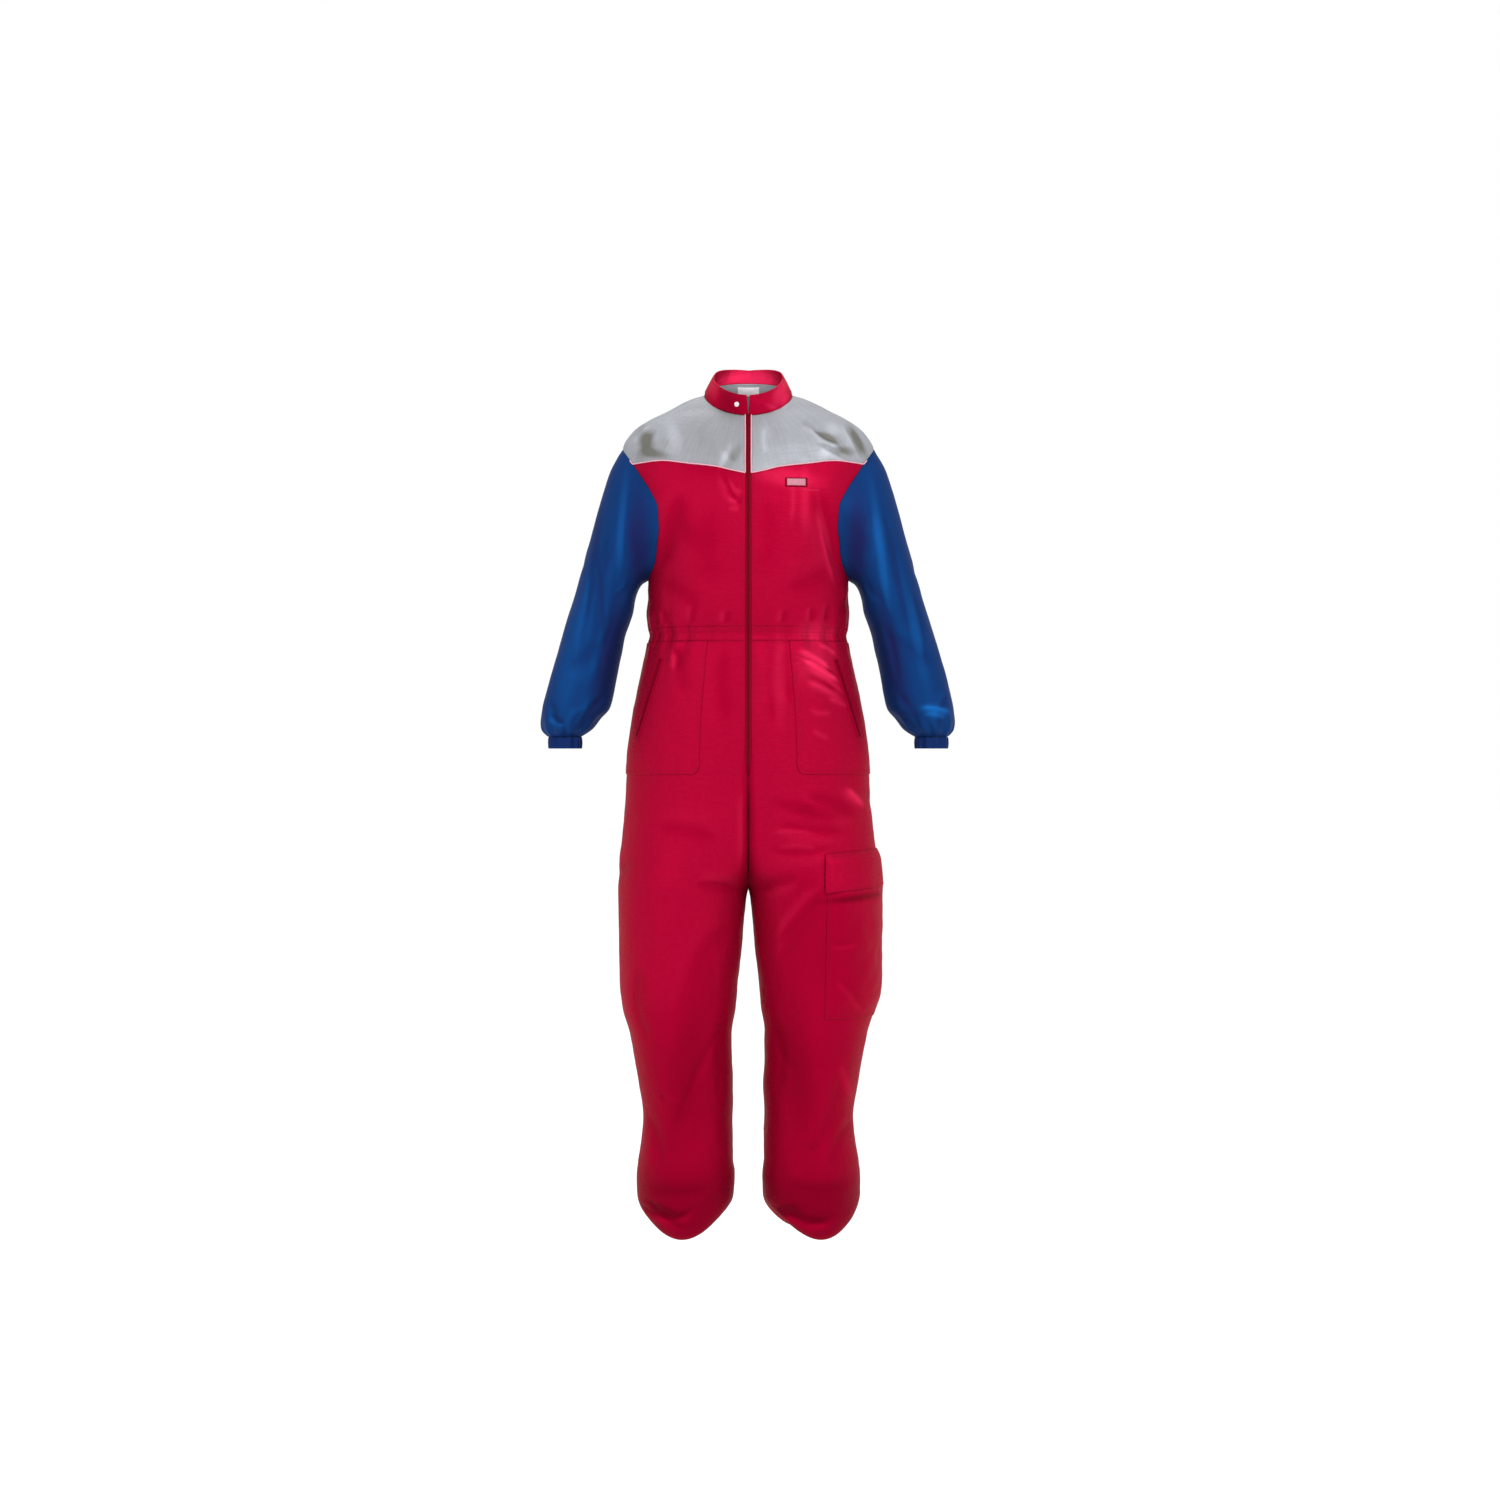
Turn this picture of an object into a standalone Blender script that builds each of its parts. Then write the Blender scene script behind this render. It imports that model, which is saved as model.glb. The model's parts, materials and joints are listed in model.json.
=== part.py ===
"""A one-piece racing jumpsuit, filled out as if it were worn, with every cut piece a wall of cloth.

Metres, +Z up. The front faces -Y and the wearer's left is +X. The origin is the middle of the shoulder line.
A turn is an angle round the body or a leg: 0 at the front, 90 at the outer side, 180 at the back, 270 inside.
"""

import math

import bpy
import numpy as np
from mathutils import Vector
from mathutils.bvhtree import BVHTree

CLOTH = 0.0018          # thickness of every wall of cloth
TRIM = 0.0012           # thickness of a zip's tape, a label and a patch pocket
SEAM_GAP = 0.0003       # between two pieces that are sewn together
LAID_GAP = 0.0004       # under a piece that lies on a panel, point on point
DRAPED_GAP = 0.00094     # under a piece that crosses a panel's own points

QUARTER = 12            # columns from the centre line to the side seam
YOKE_COLUMNS = 14       # columns of half a yoke: the yoke seam and its part of the armhole
ARMHOLE_STEPS = 10      # columns of half a sleeve
YOKE_STEPS = 2          # of those, the ones that the yoke meets
SIDE_ROWS = 4           # rows of a front or back panel below the armpit
YOKE_ROWS = 4
POCKET_FIRST_COLUMN = 3

WAIST_TOP = -0.4160
WAIST_MIDDLE = -0.4285
WAIST_BOTTOM = -0.4409
ARMPIT = -0.330
ZIP_HALF_WIDTH = 0.0053
ZIP_END = -0.6436
ZIP_TIP = -0.6744
ZIP_TIP_HALF_WIDTH = 0.0008
CROTCH = -0.8766
NECK_HALF_WIDTH = 0.0785
NECK_SEAM = (-0.043, 0.000, 0.028)     # heights at the front, side and back
COLLAR_TOP = (-0.008, 0.031, 0.053)
COLLAR_HALF_WIDTH, COLLAR_FRONT, COLLAR_BACK = 0.0615, 0.066, 0.072
COLLAR_CORNER = 0.006                  # how far the top edge stands out behind the ears
COLLAR_NOTCH, COLLAR_NOTCH_REACH = 0.0025, 0.07
SNAP_X, SNAP_Z = -0.0201, -0.0240
SNAP_RADIUS, SNAP_HEIGHT, SNAP_GAP = 0.0043, 0.0020, 0.0005
POCKET_ZIP_LOW, POCKET_ZIP_HIGH, POCKET_ZIP_WIDTH = (0.1960, -0.6080), (0.1530, -0.4720), 0.009
CHEST_LABEL_LOW, CHEST_LABEL_HIGH = (0.0640, -0.1735), (0.1030, -0.1570)
NECK_LABEL_LOW, NECK_LABEL_HIGH = (-0.0196, 0.006), (0.0196, 0.022)
LEFT_LEAN, RIGHT_LEAN = 14.0, 4.0      # where round each leg its bloused fold hangs lowest

PUCKERS_A_QUARTER = 6   # gathers of the elastic waist in each quarter
PUCKER_DEPTH = 0.0020
PUCKER_REACH = 0.022
CUFF_PUCKERS = 10
CUFF_PUCKER_DEPTH = 0.0014
HEM_PUCKERS = 12
HEM_PUCKER_DEPTH = 0.0016

LEG_TUBE_END = -1.360   # below it the leg blouses over its elastic hem
FOLD_LOW = -1.490
FOLD_RISE = 0.050
HEM_TOP = -1.449
HEM_BOTTOM = -1.462
HEM_RADIUS = 0.042


class Sections:
    """A short table, one row a section, whose columns are read as smooth curves of the first one."""

    def __init__(self, names, rows):
        values = np.array(sorted(rows), float)
        self.places = values[:, 0]
        self.columns = {name: values[:, i] for i, name in enumerate(names)}

    def read(self, name, place):
        """The column's value at each place, with no overshoot between its rows."""
        x, y = self.places, self.columns[name]
        place = np.asarray(place, float)
        width = np.diff(x)
        rise = np.diff(y) / width
        slope = np.concatenate([rise[:1], np.zeros(len(x) - 2), rise[-1:]])
        same_way = rise[:-1] * rise[1:] > 0
        both = np.where(same_way, rise[:-1] + rise[1:], 1.0)
        slope[1:-1] = np.where(same_way, 2 * rise[:-1] * rise[1:] / both, 0.0)
        i = np.clip(np.searchsorted(x, place, side="right") - 1, 0, len(x) - 2)
        t = np.clip((place - x[i]) / width[i], 0.0, 1.0)
        start = (1 + 2 * t) * (1 - t) ** 2 * y[i] + t * (1 - t) ** 2 * width[i] * slope[i]
        end = t * t * (3 - 2 * t) * y[i + 1] - t * t * (1 - t) * width[i] * slope[i + 1]
        return start + end


# The upper body from the neck to the waist: half its width, and how far it reaches to front and back.
BODY = Sections(
    ("z", "half_width", "front", "back"),
    [
        (0.030, 0.0787, 0.002, 0.064),
        (0.014, 0.0786, 0.003, 0.071),
        (0.000, 0.0785, 0.004, 0.078),
        (-0.0053, 0.0950, 0.017, 0.081),
        (-0.0145, 0.1160, 0.032, 0.085),
        (-0.030, 0.1460, 0.046, 0.091),
        (-0.043, 0.1720, 0.060, 0.095),
        (-0.060, 0.1980, 0.073, 0.099),
        (-0.080, 0.2150, 0.086, 0.103),
        (-0.096, 0.2227, 0.095, 0.106),
        (-0.130, 0.2255, 0.107, 0.110),
        (-0.170, 0.2220, 0.117, 0.115),
        (-0.210, 0.2130, 0.124, 0.118),
        (-0.263, 0.1900, 0.128, 0.117),
        (-0.300, 0.1800, 0.129, 0.114),
        (ARMPIT, 0.1780, 0.128, 0.111),
        (-0.386, 0.1796, 0.122, 0.102),
        (WAIST_TOP, 0.1760, 0.114, 0.094),
        (WAIST_MIDDLE, 0.1725, 0.111, 0.091),
        (WAIST_BOTTOM, 0.1755, 0.113, 0.093),
    ],
)

# The armhole, from the armpit at step 0 over the chest or the back to the shoulder point at step 10.
ARMHOLE = Sections(
    ("step", "front_turn", "front_z", "back_turn", "back_z"),
    [
        (0, 90.0, ARMPIT, 90.0, ARMPIT),
        (1, 79.0, -0.324, 101.0, -0.324),
        (2, 68.6, -0.308, 111.0, -0.308),
        (3, 58.8, -0.270, 118.5, -0.272),
        (4, 51.0, -0.235, 123.0, -0.239),
        (5, 48.0, -0.205, 124.0, -0.208),
        (6, 51.0, -0.178, 121.0, -0.180),
        (7, 57.0, -0.152, 117.0, -0.153),
        (8, 64.5, -0.128, 112.0, -0.128),
        (9, 76.0, -0.108, 102.0, -0.108),
        (10, 90.0, -0.096, 90.0, -0.096),
    ],
)

# The yoke seam from the centre line to the armhole.
YOKE_SEAM = Sections(
    ("along", "front_z", "back_z"),
    [
        (0.00, -0.1490, -0.149),
        (0.12, -0.1440, -0.149),
        (0.25, -0.1375, -0.148),
        (0.50, -0.1310, -0.145),
        (0.75, -0.1245, -0.139),
        (1.00, -0.1280, -0.128),
    ],
)

# The sleeve: the places of its outer and inner edges in the front view, and half its depth.
SLEEVE = Sections(
    ("ring", "outer_x", "outer_z", "inner_x", "inner_z", "half_depth"),
    [
        (0, 0.2227, -0.0960, 0.1780, -0.3300, 0.0800),
        (1, 0.2436, -0.1330, 0.1890, -0.3380, 0.0790),
        (2, 0.2569, -0.1725, 0.1965, -0.3500, 0.0770),
        (3, 0.2694, -0.2150, 0.2015, -0.3660, 0.0740),
        (4, 0.2809, -0.2580, 0.2045, -0.3860, 0.0710),
        (5, 0.2934, -0.3005, 0.2116, -0.4070, 0.0680),
        (6, 0.3040, -0.3430, 0.2190, -0.4285, 0.0660),
        (7, 0.3174, -0.3860, 0.2245, -0.4550, 0.0640),
        (8, 0.3307, -0.4285, 0.2300, -0.4800, 0.0630),
        (9, 0.3432, -0.4710, 0.2350, -0.5070, 0.0620),
        (10, 0.3556, -0.5140, 0.2400, -0.5340, 0.0620),
        (11, 0.3654, -0.5565, 0.2470, -0.5580, 0.0620),
        (12, 0.3672, -0.5780, 0.2630, -0.5760, 0.0570),
        (13, 0.3636, -0.5955, 0.2790, -0.5950, 0.0460),
        (14, 0.3545, -0.6075, 0.2960, -0.6075, 0.0315),
    ],
)
SLEEVE_RINGS = 14
CAP_FADE = 0.42         # share of the sleeve over which the armhole's bend fades
CUFF_OUTER, CUFF_INNER, CUFF_BOTTOM = 0.3538, 0.2969, -0.6285

# The trousers from the waist down: the outer and inner edge of one leg in the front view, where a
# negative inner edge lies past the centre line and is cut off there, and the reach to front and back.
LEG = Sections(
    ("z", "outer_x", "inner_x", "front", "back"),
    [
        (WAIST_BOTTOM, 0.1755, -0.1755, 0.113, 0.093),
        (-0.471, 0.1823, -0.1820, 0.117, 0.102),
        (-0.514, 0.1920, -0.1900, 0.120, 0.113),
        (-0.578, 0.2054, -0.1980, 0.122, 0.126),
        (ZIP_END, 0.2134, -0.1920, 0.122, 0.134),
        (-0.700, 0.2170, -0.1700, 0.121, 0.137),
        (-0.750, 0.2205, -0.1350, 0.121, 0.137),
        (-0.800, 0.2250, -0.0900, 0.121, 0.135),
        (-0.840, 0.2290, -0.0460, 0.121, 0.131),
        (CROTCH, 0.2310, 0.0000, 0.120, 0.127),
        (-0.898, 0.2310, 0.0042, 0.118, 0.124),
        (-0.940, 0.2310, 0.0080, 0.115, 0.120),
        (-0.983, 0.2300, 0.0115, 0.112, 0.115),
        (-1.047, 0.2290, 0.0196, 0.108, 0.110),
        (-1.090, 0.2235, 0.0230, 0.103, 0.106),
        (-1.133, 0.2107, 0.0290, 0.098, 0.100),
        (-1.175, 0.2026, 0.0285, 0.093, 0.096),
        (-1.218, 0.1955, 0.0267, 0.089, 0.093),
        (-1.282, 0.1870, 0.0290, 0.083, 0.090),
        (-1.325, 0.1905, 0.0275, 0.083, 0.088),
        (LEG_TUBE_END, 0.1965, 0.0275, 0.084, 0.087),
    ],
)
LEG_ROWS = [
    WAIST_BOTTOM, -0.471, -0.514, -0.558, -0.602, ZIP_END, ZIP_TIP, -0.725, -0.775, -0.820,
    -0.852, CROTCH, -0.905, -0.955, -1.010, -1.065, -1.110, -1.160, -1.218, -1.285, LEG_TUBE_END,
]

# The bloused end of a leg: how far down to the fold, and the ring's size as a share of the leg's.
BLOUSE_ROWS = [
    {"down": 0.36, "size": 1.03, "to_hem": 0.0},
    {"down": 0.72, "size": 1.02, "to_hem": 0.0},
    {"down": 0.94, "size": 0.95, "to_hem": 0.0},
    {"down": 1.00, "size": 0.84, "to_hem": 0.0},
    {"down": 1.00, "size": 0.66, "to_hem": 0.35},
]

# The largest folds: a soft trough from one place to another in the front view.
FOLDS = [
    {"side": "front", "from": (0.112, -0.170), "to": (0.165, -0.330), "width": 0.022, "depth": 0.005},
    {"side": "front", "from": (-0.120, -0.190), "to": (-0.160, -0.320), "width": 0.022, "depth": 0.004},
    {"side": "back", "from": (0.060, -0.300), "to": (0.150, -0.360), "width": 0.024, "depth": 0.005},
    {"side": "back", "from": (-0.050, -0.310), "to": (-0.150, -0.350), "width": 0.024, "depth": 0.005},
    {"side": "front", "from": (0.048, -0.981), "to": (0.116, -0.902), "width": 0.024, "depth": 0.004},
    {"side": "front", "from": (-0.040, -1.110), "to": (-0.140, -1.330), "width": 0.028, "depth": 0.006},
    {"side": "front", "from": (0.175, -1.170), "to": (0.120, -1.330), "width": 0.028, "depth": 0.006},
    {"side": "back", "from": (0.060, -1.150), "to": (0.170, -1.230), "width": 0.028, "depth": 0.007},
    {"side": "back", "from": (-0.060, -1.160), "to": (-0.165, -1.220), "width": 0.028, "depth": 0.007},
    {"side": "back", "from": (0.070, -0.850), "to": (0.180, -0.800), "width": 0.030, "depth": 0.006},
    {"side": "back", "from": (-0.070, -0.850), "to": (-0.180, -0.805), "width": 0.030, "depth": 0.006},
    {"side": "front", "from": (0.330, -0.480), "to": (0.245, -0.430), "width": 0.022, "depth": 0.005},
    {"side": "front", "from": (-0.330, -0.490), "to": (-0.250, -0.440), "width": 0.022, "depth": 0.005},
    {"side": "back", "from": (0.325, -0.440), "to": (0.240, -0.400), "width": 0.022, "depth": 0.005},
    {"side": "back", "from": (-0.325, -0.440), "to": (-0.240, -0.400), "width": 0.022, "depth": 0.005},
]
FOLD_FADE = 0.030       # how far from the side seams a fold has its full depth

RED = (0.42, 0.004, 0.030)
DARK_RED = (0.14, 0.003, 0.010)
BLUE = (0.006, 0.055, 0.220)
SILVER = (0.45, 0.48, 0.54)
WHITE = (0.80, 0.78, 0.80)


def unit(vectors):
    length = np.linalg.norm(vectors, axis=-1, keepdims=True)
    return vectors / np.maximum(length, 1e-12)


def mixed(a, b, t):
    return a + (b - a) * t


def folded(points, outward):
    """The points with the largest folds pressed in, the sides and seams staying as they are."""
    x, y, z = points[..., 0], points[..., 1], points[..., 2]
    depth = np.zeros_like(x)
    for fold in FOLDS:
        facing = -y if fold["side"] == "front" else y
        (x0, z0), (x1, z1) = fold["from"], fold["to"]
        length = math.hypot(x1 - x0, z1 - z0)
        along = ((x - x0) * (x1 - x0) + (z - z0) * (z1 - z0)) / length**2
        across = ((x - x0) * (z1 - z0) - (z - z0) * (x1 - x0)) / length
        ends = np.clip(along, 0.0, 1.0) - along
        away = (across / fold["width"]) ** 2 + (ends * length / fold["width"]) ** 2
        depth += fold["depth"] * np.exp(-away) * np.clip(facing / FOLD_FADE, 0.0, 1.0)
    return points - outward * depth[..., None]


def puckered(points, outward, along, z):
    """The points with the gathers of the elastic waist, `along` running from 0 to 1 over a quarter."""
    off = np.maximum(z - WAIST_TOP, 0.0) + np.maximum(WAIST_BOTTOM - z, 0.0)
    wave = np.cos(2 * math.pi * PUCKERS_A_QUARTER * along)
    return points + outward * (PUCKER_DEPTH * wave * np.exp(-off / PUCKER_REACH))[..., None]


def body(turn, z, along):
    """Points of the upper body's outside, left half."""
    a = np.radians(turn)
    reach = np.where(np.cos(a) >= 0, BODY.read("front", z), BODY.read("back", z))
    x = BODY.read("half_width", z) * np.sin(a)
    points = np.stack([x, -reach * np.cos(a), z], -1)
    outward = np.stack([np.sin(a), -np.cos(a), 0 * z], -1)
    return puckered(folded(points, outward), outward, along, z)


def body_turn(x, z, at_back=False):
    turn = np.degrees(np.arcsin(np.clip(x / BODY.read("half_width", z), -1.0, 1.0)))
    return 180 - turn if at_back else turn


def leg(turn, z, along):
    """Points of the left leg's outside, down to where it blouses."""
    a = np.radians(turn)
    outer, inner = LEG.read("outer_x", z), LEG.read("inner_x", z)
    reach = np.where(np.cos(a) >= 0, LEG.read("front", z), LEG.read("back", z))
    x = (outer + inner) / 2 + (outer - inner) / 2 * np.sin(a)
    points = np.stack([x, -reach * np.cos(a), z], -1)
    outward = np.stack([np.sin(a), -np.cos(a), 0 * z], -1)
    return puckered(folded(points, outward), outward, along, z)


def leg_turn(x, z, at_back=False):
    outer, inner = LEG.read("outer_x", z), LEG.read("inner_x", z)
    sine = (x - (outer + inner) / 2) / ((outer - inner) / 2)
    turn = np.degrees(np.arcsin(np.clip(sine, -1.0, 1.0)))
    return 180 - turn if at_back else turn


def armhole(step, side):
    return ARMHOLE.read(side + "_turn", step), ARMHOLE.read(side + "_z", step)


def zip_opening(z):
    """Half the width of the front opening that the zip fills."""
    closing = np.clip((z - ZIP_TIP) / (ZIP_END - ZIP_TIP), 0.0, 1.0)
    return np.where(z < ZIP_TIP - 1e-6, 0.0, mixed(ZIP_TIP_HALF_WIDTH, ZIP_HALF_WIDTH, closing))


def wave_of_height(heights, a):
    """A height that runs round the neck from its front, over its side, to its back."""
    front, side, back = heights
    middle = (front + back) / 2
    return (middle + side) / 2 + (front - back) / 2 * np.cos(a) + (middle - side) / 2 * np.cos(2 * a)


def neck_z(angle):
    return wave_of_height(NECK_SEAM, np.radians(angle))


def neck_seam(u, side):
    """(turn, z) of the neck seam, from the centre line at 0 to the shoulder seam at 1."""
    start = math.degrees(math.asin(ZIP_HALF_WIDTH / NECK_HALF_WIDTH)) if side == "front" else 180.0
    angle = mixed(start, 90.0, u)
    z = neck_z(angle)
    return body_turn(NECK_HALF_WIDTH * np.sin(np.radians(angle)), z, side == "back"), z


def yoke_seam(u, side):
    """(turn, z) of the yoke seam, from the centre line at 0 to the armhole at 1."""
    turn, z = armhole(ARMHOLE_STEPS - YOKE_STEPS, side)
    end = BODY.read("half_width", z) * math.sin(math.radians(turn))
    start = ZIP_HALF_WIDTH if side == "front" else 0.0
    z = YOKE_SEAM.read(side + "_z", u)
    return body_turn(mixed(start, end, u), z, side == "back"), z


def coons(bottom, top, left, right, u, v):
    """(turn, z) inside four edges that meet at their corners."""
    out = []
    for i in range(2):
        edges = mixed(bottom(u)[i], top(u)[i], v) + mixed(left(v)[i], right(v)[i], u)
        low = mixed(bottom(0.0 * u)[i], bottom(0.0 * u + 1)[i], u)
        high = mixed(top(0.0 * u)[i], top(0.0 * u + 1)[i], u)
        out.append(edges - mixed(low, high, v))
    return out


def grid_of(columns, rows):
    """u and v over a grid, each row one v."""
    return np.meshgrid(np.linspace(0, 1, columns + 1), np.linspace(0, 1, rows + 1))


def half_panel(side):
    """Half of the front or the back, from the centre line to the side, from the waist to the yoke."""
    at_back = side == "back"
    rows = SIDE_ROWS + ARMHOLE_STEPS - YOKE_STEPS
    edge = 0.0 if at_back else ZIP_HALF_WIDTH

    def bottom(u):
        start = body_turn(edge, WAIST_TOP, at_back)
        return mixed(start, 90.0, u), WAIST_TOP + 0 * u

    def centre(v):
        z = mixed(WAIST_TOP, float(YOKE_SEAM.read(side + "_z", 0.0)), v)
        return body_turn(edge, z, at_back), z

    def outer(v):
        row = v * rows
        turn, z = armhole(np.clip(row - SIDE_ROWS, 0, None), side)
        below = row <= SIDE_ROWS
        side_z = mixed(WAIST_TOP, ARMPIT, row / SIDE_ROWS)
        return np.where(below, 90.0, turn), np.where(below, side_z, z)

    u, v = grid_of(QUARTER, rows)
    turn, z = coons(bottom, lambda s: yoke_seam(s, side), centre, outer, u, v)
    return body(turn, z, u)


def half_yoke(side):
    """Half of the front or back yoke, from the centre line to the shoulder seam, seam to neck."""
    at_back = side == "back"
    seam_columns = YOKE_COLUMNS - YOKE_STEPS

    def bottom(u):
        column = u * YOKE_COLUMNS
        on_seam = yoke_seam(np.clip(column / seam_columns, 0, 1), side)
        step = ARMHOLE_STEPS - YOKE_STEPS + np.clip(column - seam_columns, 0, None)
        on_armhole = armhole(step, side)
        return [np.where(column <= seam_columns, a, b) for a, b in zip(on_seam, on_armhole)]

    def centre(v):
        z = mixed(float(YOKE_SEAM.read(side + "_z", 0.0)), float(neck_seam(0.0, side)[1]), v)
        return body_turn(0.0 if at_back else ZIP_HALF_WIDTH, z, at_back), z

    def shoulder(v):
        return 90.0 + 0 * v, mixed(float(ARMHOLE.read("front_z", ARMHOLE_STEPS)), 0.0, v)

    u, v = grid_of(YOKE_COLUMNS, YOKE_ROWS)
    turn, z = coons(bottom, lambda s: neck_seam(s, side), centre, shoulder, u, v)
    return body(turn, z, 0 * u)


def sleeve_ring(ring, s):
    """Points of a ring of the left sleeve: s is 0 at its outer edge, 90 in front, 180 inside."""
    outer = np.array([float(SLEEVE.read("outer_x", ring)), 0.0, float(SLEEVE.read("outer_z", ring))])
    inner = np.array([float(SLEEVE.read("inner_x", ring)), 0.0, float(SLEEVE.read("inner_z", ring))])
    depth = float(SLEEVE.read("half_depth", ring))
    a = np.radians(s)[:, None]
    return (outer + inner) / 2 + (outer - inner) / 2 * np.cos(a) - np.array([0, depth, 0]) * np.sin(a)


def sleeve():
    columns = 2 * ARMHOLE_STEPS
    s = np.arange(columns) * 360.0 / columns
    in_front = s <= 180
    step = np.where(in_front, ARMHOLE_STEPS * (1 - s / 180), ARMHOLE_STEPS * (s / 180 - 1))
    front, back = armhole(step, "front"), armhole(step, "back")
    turn, z = [np.where(in_front, a, b) for a, b in zip(front, back)]
    bend = body(turn, z, 0 * z) - sleeve_ring(0, s)
    rows = []
    for ring in range(SLEEVE_RINGS + 1):
        fade = max(0.0, 1 - ring / SLEEVE_RINGS / CAP_FADE) ** 2
        points = sleeve_ring(ring, s)
        outward = unit(points - points.mean(axis=0))
        if ring:
            points = folded(points, outward * (1 - fade))
        rows.append(points + bend * fade)
    rows[-1] = cuff_ring(float(SLEEVE.read("outer_z", SLEEVE_RINGS)))
    return np.array(rows)


def cuff_ring(z):
    columns = 2 * ARMHOLE_STEPS
    a = np.arange(columns) * 2 * math.pi / columns
    radius = (CUFF_OUTER - CUFF_INNER) / 2
    radius = radius + CUFF_PUCKER_DEPTH * np.cos(CUFF_PUCKERS * a)
    x = (CUFF_OUTER + CUFF_INNER) / 2 + radius * np.cos(a)
    return np.stack([x, -radius * np.sin(a), z + 0 * a], -1)


def cuff():
    top = float(SLEEVE.read("outer_z", SLEEVE_RINGS))
    return np.array([cuff_ring(mixed(top, CUFF_BOTTOM, t)) for t in (0.0, 0.5, 1.0)])


def leg_columns(side, z):
    """The turns of a leg panel's columns at one height, counter-clockwise seen from above."""
    u = np.linspace(0, 1, QUARTER + 1)
    if side == "front":
        return mixed(float(leg_turn(zip_opening(z), z)), 90.0, u), u
    return mixed(90.0, float(leg_turn(0.0, z, True)), u), 1 - u


def bloused(turn, row, lean):
    """Points of the bloused end: the fold is lowest where the cloth leans, in front and behind."""
    a = np.radians(turn)
    end = leg(turn, LEG_TUBE_END + 0 * turn, 0 * turn)
    middle = (LEG.read("outer_x", LEG_TUBE_END) + LEG.read("inner_x", LEG_TUBE_END)) / 2
    centre = np.array([float(middle), 0.0, 0.0])
    low = FOLD_LOW + FOLD_RISE * np.sin(a - math.radians(lean)) ** 2
    size = row["size"] + (HEM_PUCKER_DEPTH / HEM_RADIUS) * np.cos(HEM_PUCKERS * a) * row["to_hem"]
    flat = centre + (end - centre) * size[:, None]
    z = mixed(mixed(LEG_TUBE_END, low, row["down"]), HEM_BOTTOM, row["to_hem"])
    return np.stack([flat[:, 0], flat[:, 1], z], -1)


def hem_ring(turn, z):
    a = np.radians(turn)
    middle = float(LEG.read("outer_x", LEG_TUBE_END) + LEG.read("inner_x", LEG_TUBE_END)) / 2
    radius = HEM_RADIUS + HEM_PUCKER_DEPTH * np.cos(HEM_PUCKERS * a)
    return np.stack([middle + radius * np.sin(a), -radius * np.cos(a), z + 0 * a], -1)


def leg_panel(side, lean):
    rows = []
    for z in LEG_ROWS:
        turn, along = leg_columns(side, z)
        rows.append(leg(turn, z + 0 * turn, along))
    rows += [bloused(turn, row, lean) for row in BLOUSE_ROWS]
    rows.append(hem_ring(turn, HEM_BOTTOM))
    return np.array(rows)[::-1]


def hem_band():
    turn = np.linspace(-90, 270, 2 * QUARTER, endpoint=False)
    return np.array([hem_ring(turn, z) for z in (HEM_TOP, HEM_BOTTOM)])


def collar(neck_left, front_centre):
    """The stand collar, open at the front, from its seam to its top edge."""
    half = np.vstack([front_centre, neck_left])
    bottom = np.vstack([half, mirrored(half[::-1])[1:]])
    start = math.degrees(math.asin(ZIP_HALF_WIDTH / NECK_HALF_WIDTH))
    front_angles = np.concatenate([[0.0], np.linspace(start, 90.0, YOKE_COLUMNS + 1)])
    back_angles = np.linspace(90.0, 180.0, YOKE_COLUMNS + 1)[1:]
    angles = np.concatenate([front_angles, back_angles])
    angles = np.concatenate([angles, 360 - angles[::-1][1:]])
    a = np.radians(angles)
    notch = COLLAR_NOTCH * np.clip(1 - np.abs(np.sin(a)) / COLLAR_NOTCH_REACH, 0, 1) * (np.cos(a) > 0)
    side = np.where(angles < 180, 1.0, -1.0)
    corner = COLLAR_CORNER * np.clip(-np.cos(a), 0, 1) * np.abs(np.sin(a))
    x = COLLAR_HALF_WIDTH * np.sin(a) + side * (notch + corner)
    y = (COLLAR_BACK - COLLAR_FRONT) / 2 - (COLLAR_BACK + COLLAR_FRONT) / 2 * np.cos(a)
    top = np.stack([x, y, wave_of_height(COLLAR_TOP, a) + corner], -1)
    return np.array([mixed(bottom, top, t) for t in (0.0, 0.5, 1.0)])


def mirrored(points):
    return points * np.array([-1.0, 1.0, 1.0])


def other_side(grid):
    """The grid on the wearer's right, its faces still looking out."""
    return mirrored(grid[:, ::-1])


def shared_normals(grids):
    """Normals for every grid, one and the same where two pieces are sewn together."""
    total = {}
    keys = {}
    for name, (grid, ring) in grids.items():
        points = np.concatenate([grid, grid[:, :1]], axis=1) if ring else grid
        across = points[:-1, 1:] - points[1:, :-1]
        up = points[1:, 1:] - points[:-1, :-1]
        face = np.cross(up, across) * -1.0
        sums = np.zeros_like(points)
        for rows in (slice(None, -1), slice(1, None)):
            for columns in (slice(None, -1), slice(1, None)):
                sums[rows, columns] += face
        if ring:
            sums[:, 0] += sums[:, -1]
            sums = sums[:, :-1]
        keys[name] = [[tuple(p) for p in row] for row in (np.round(grid, 6) + 0.0).tolist()]
        for key_row, sum_row in zip(keys[name], sums):
            for key, value in zip(key_row, sum_row):
                total[key] = total.get(key, 0) + value
    return {name: unit(np.array([[total[k] for k in row] for row in rows])) for name, rows in keys.items()}


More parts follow.
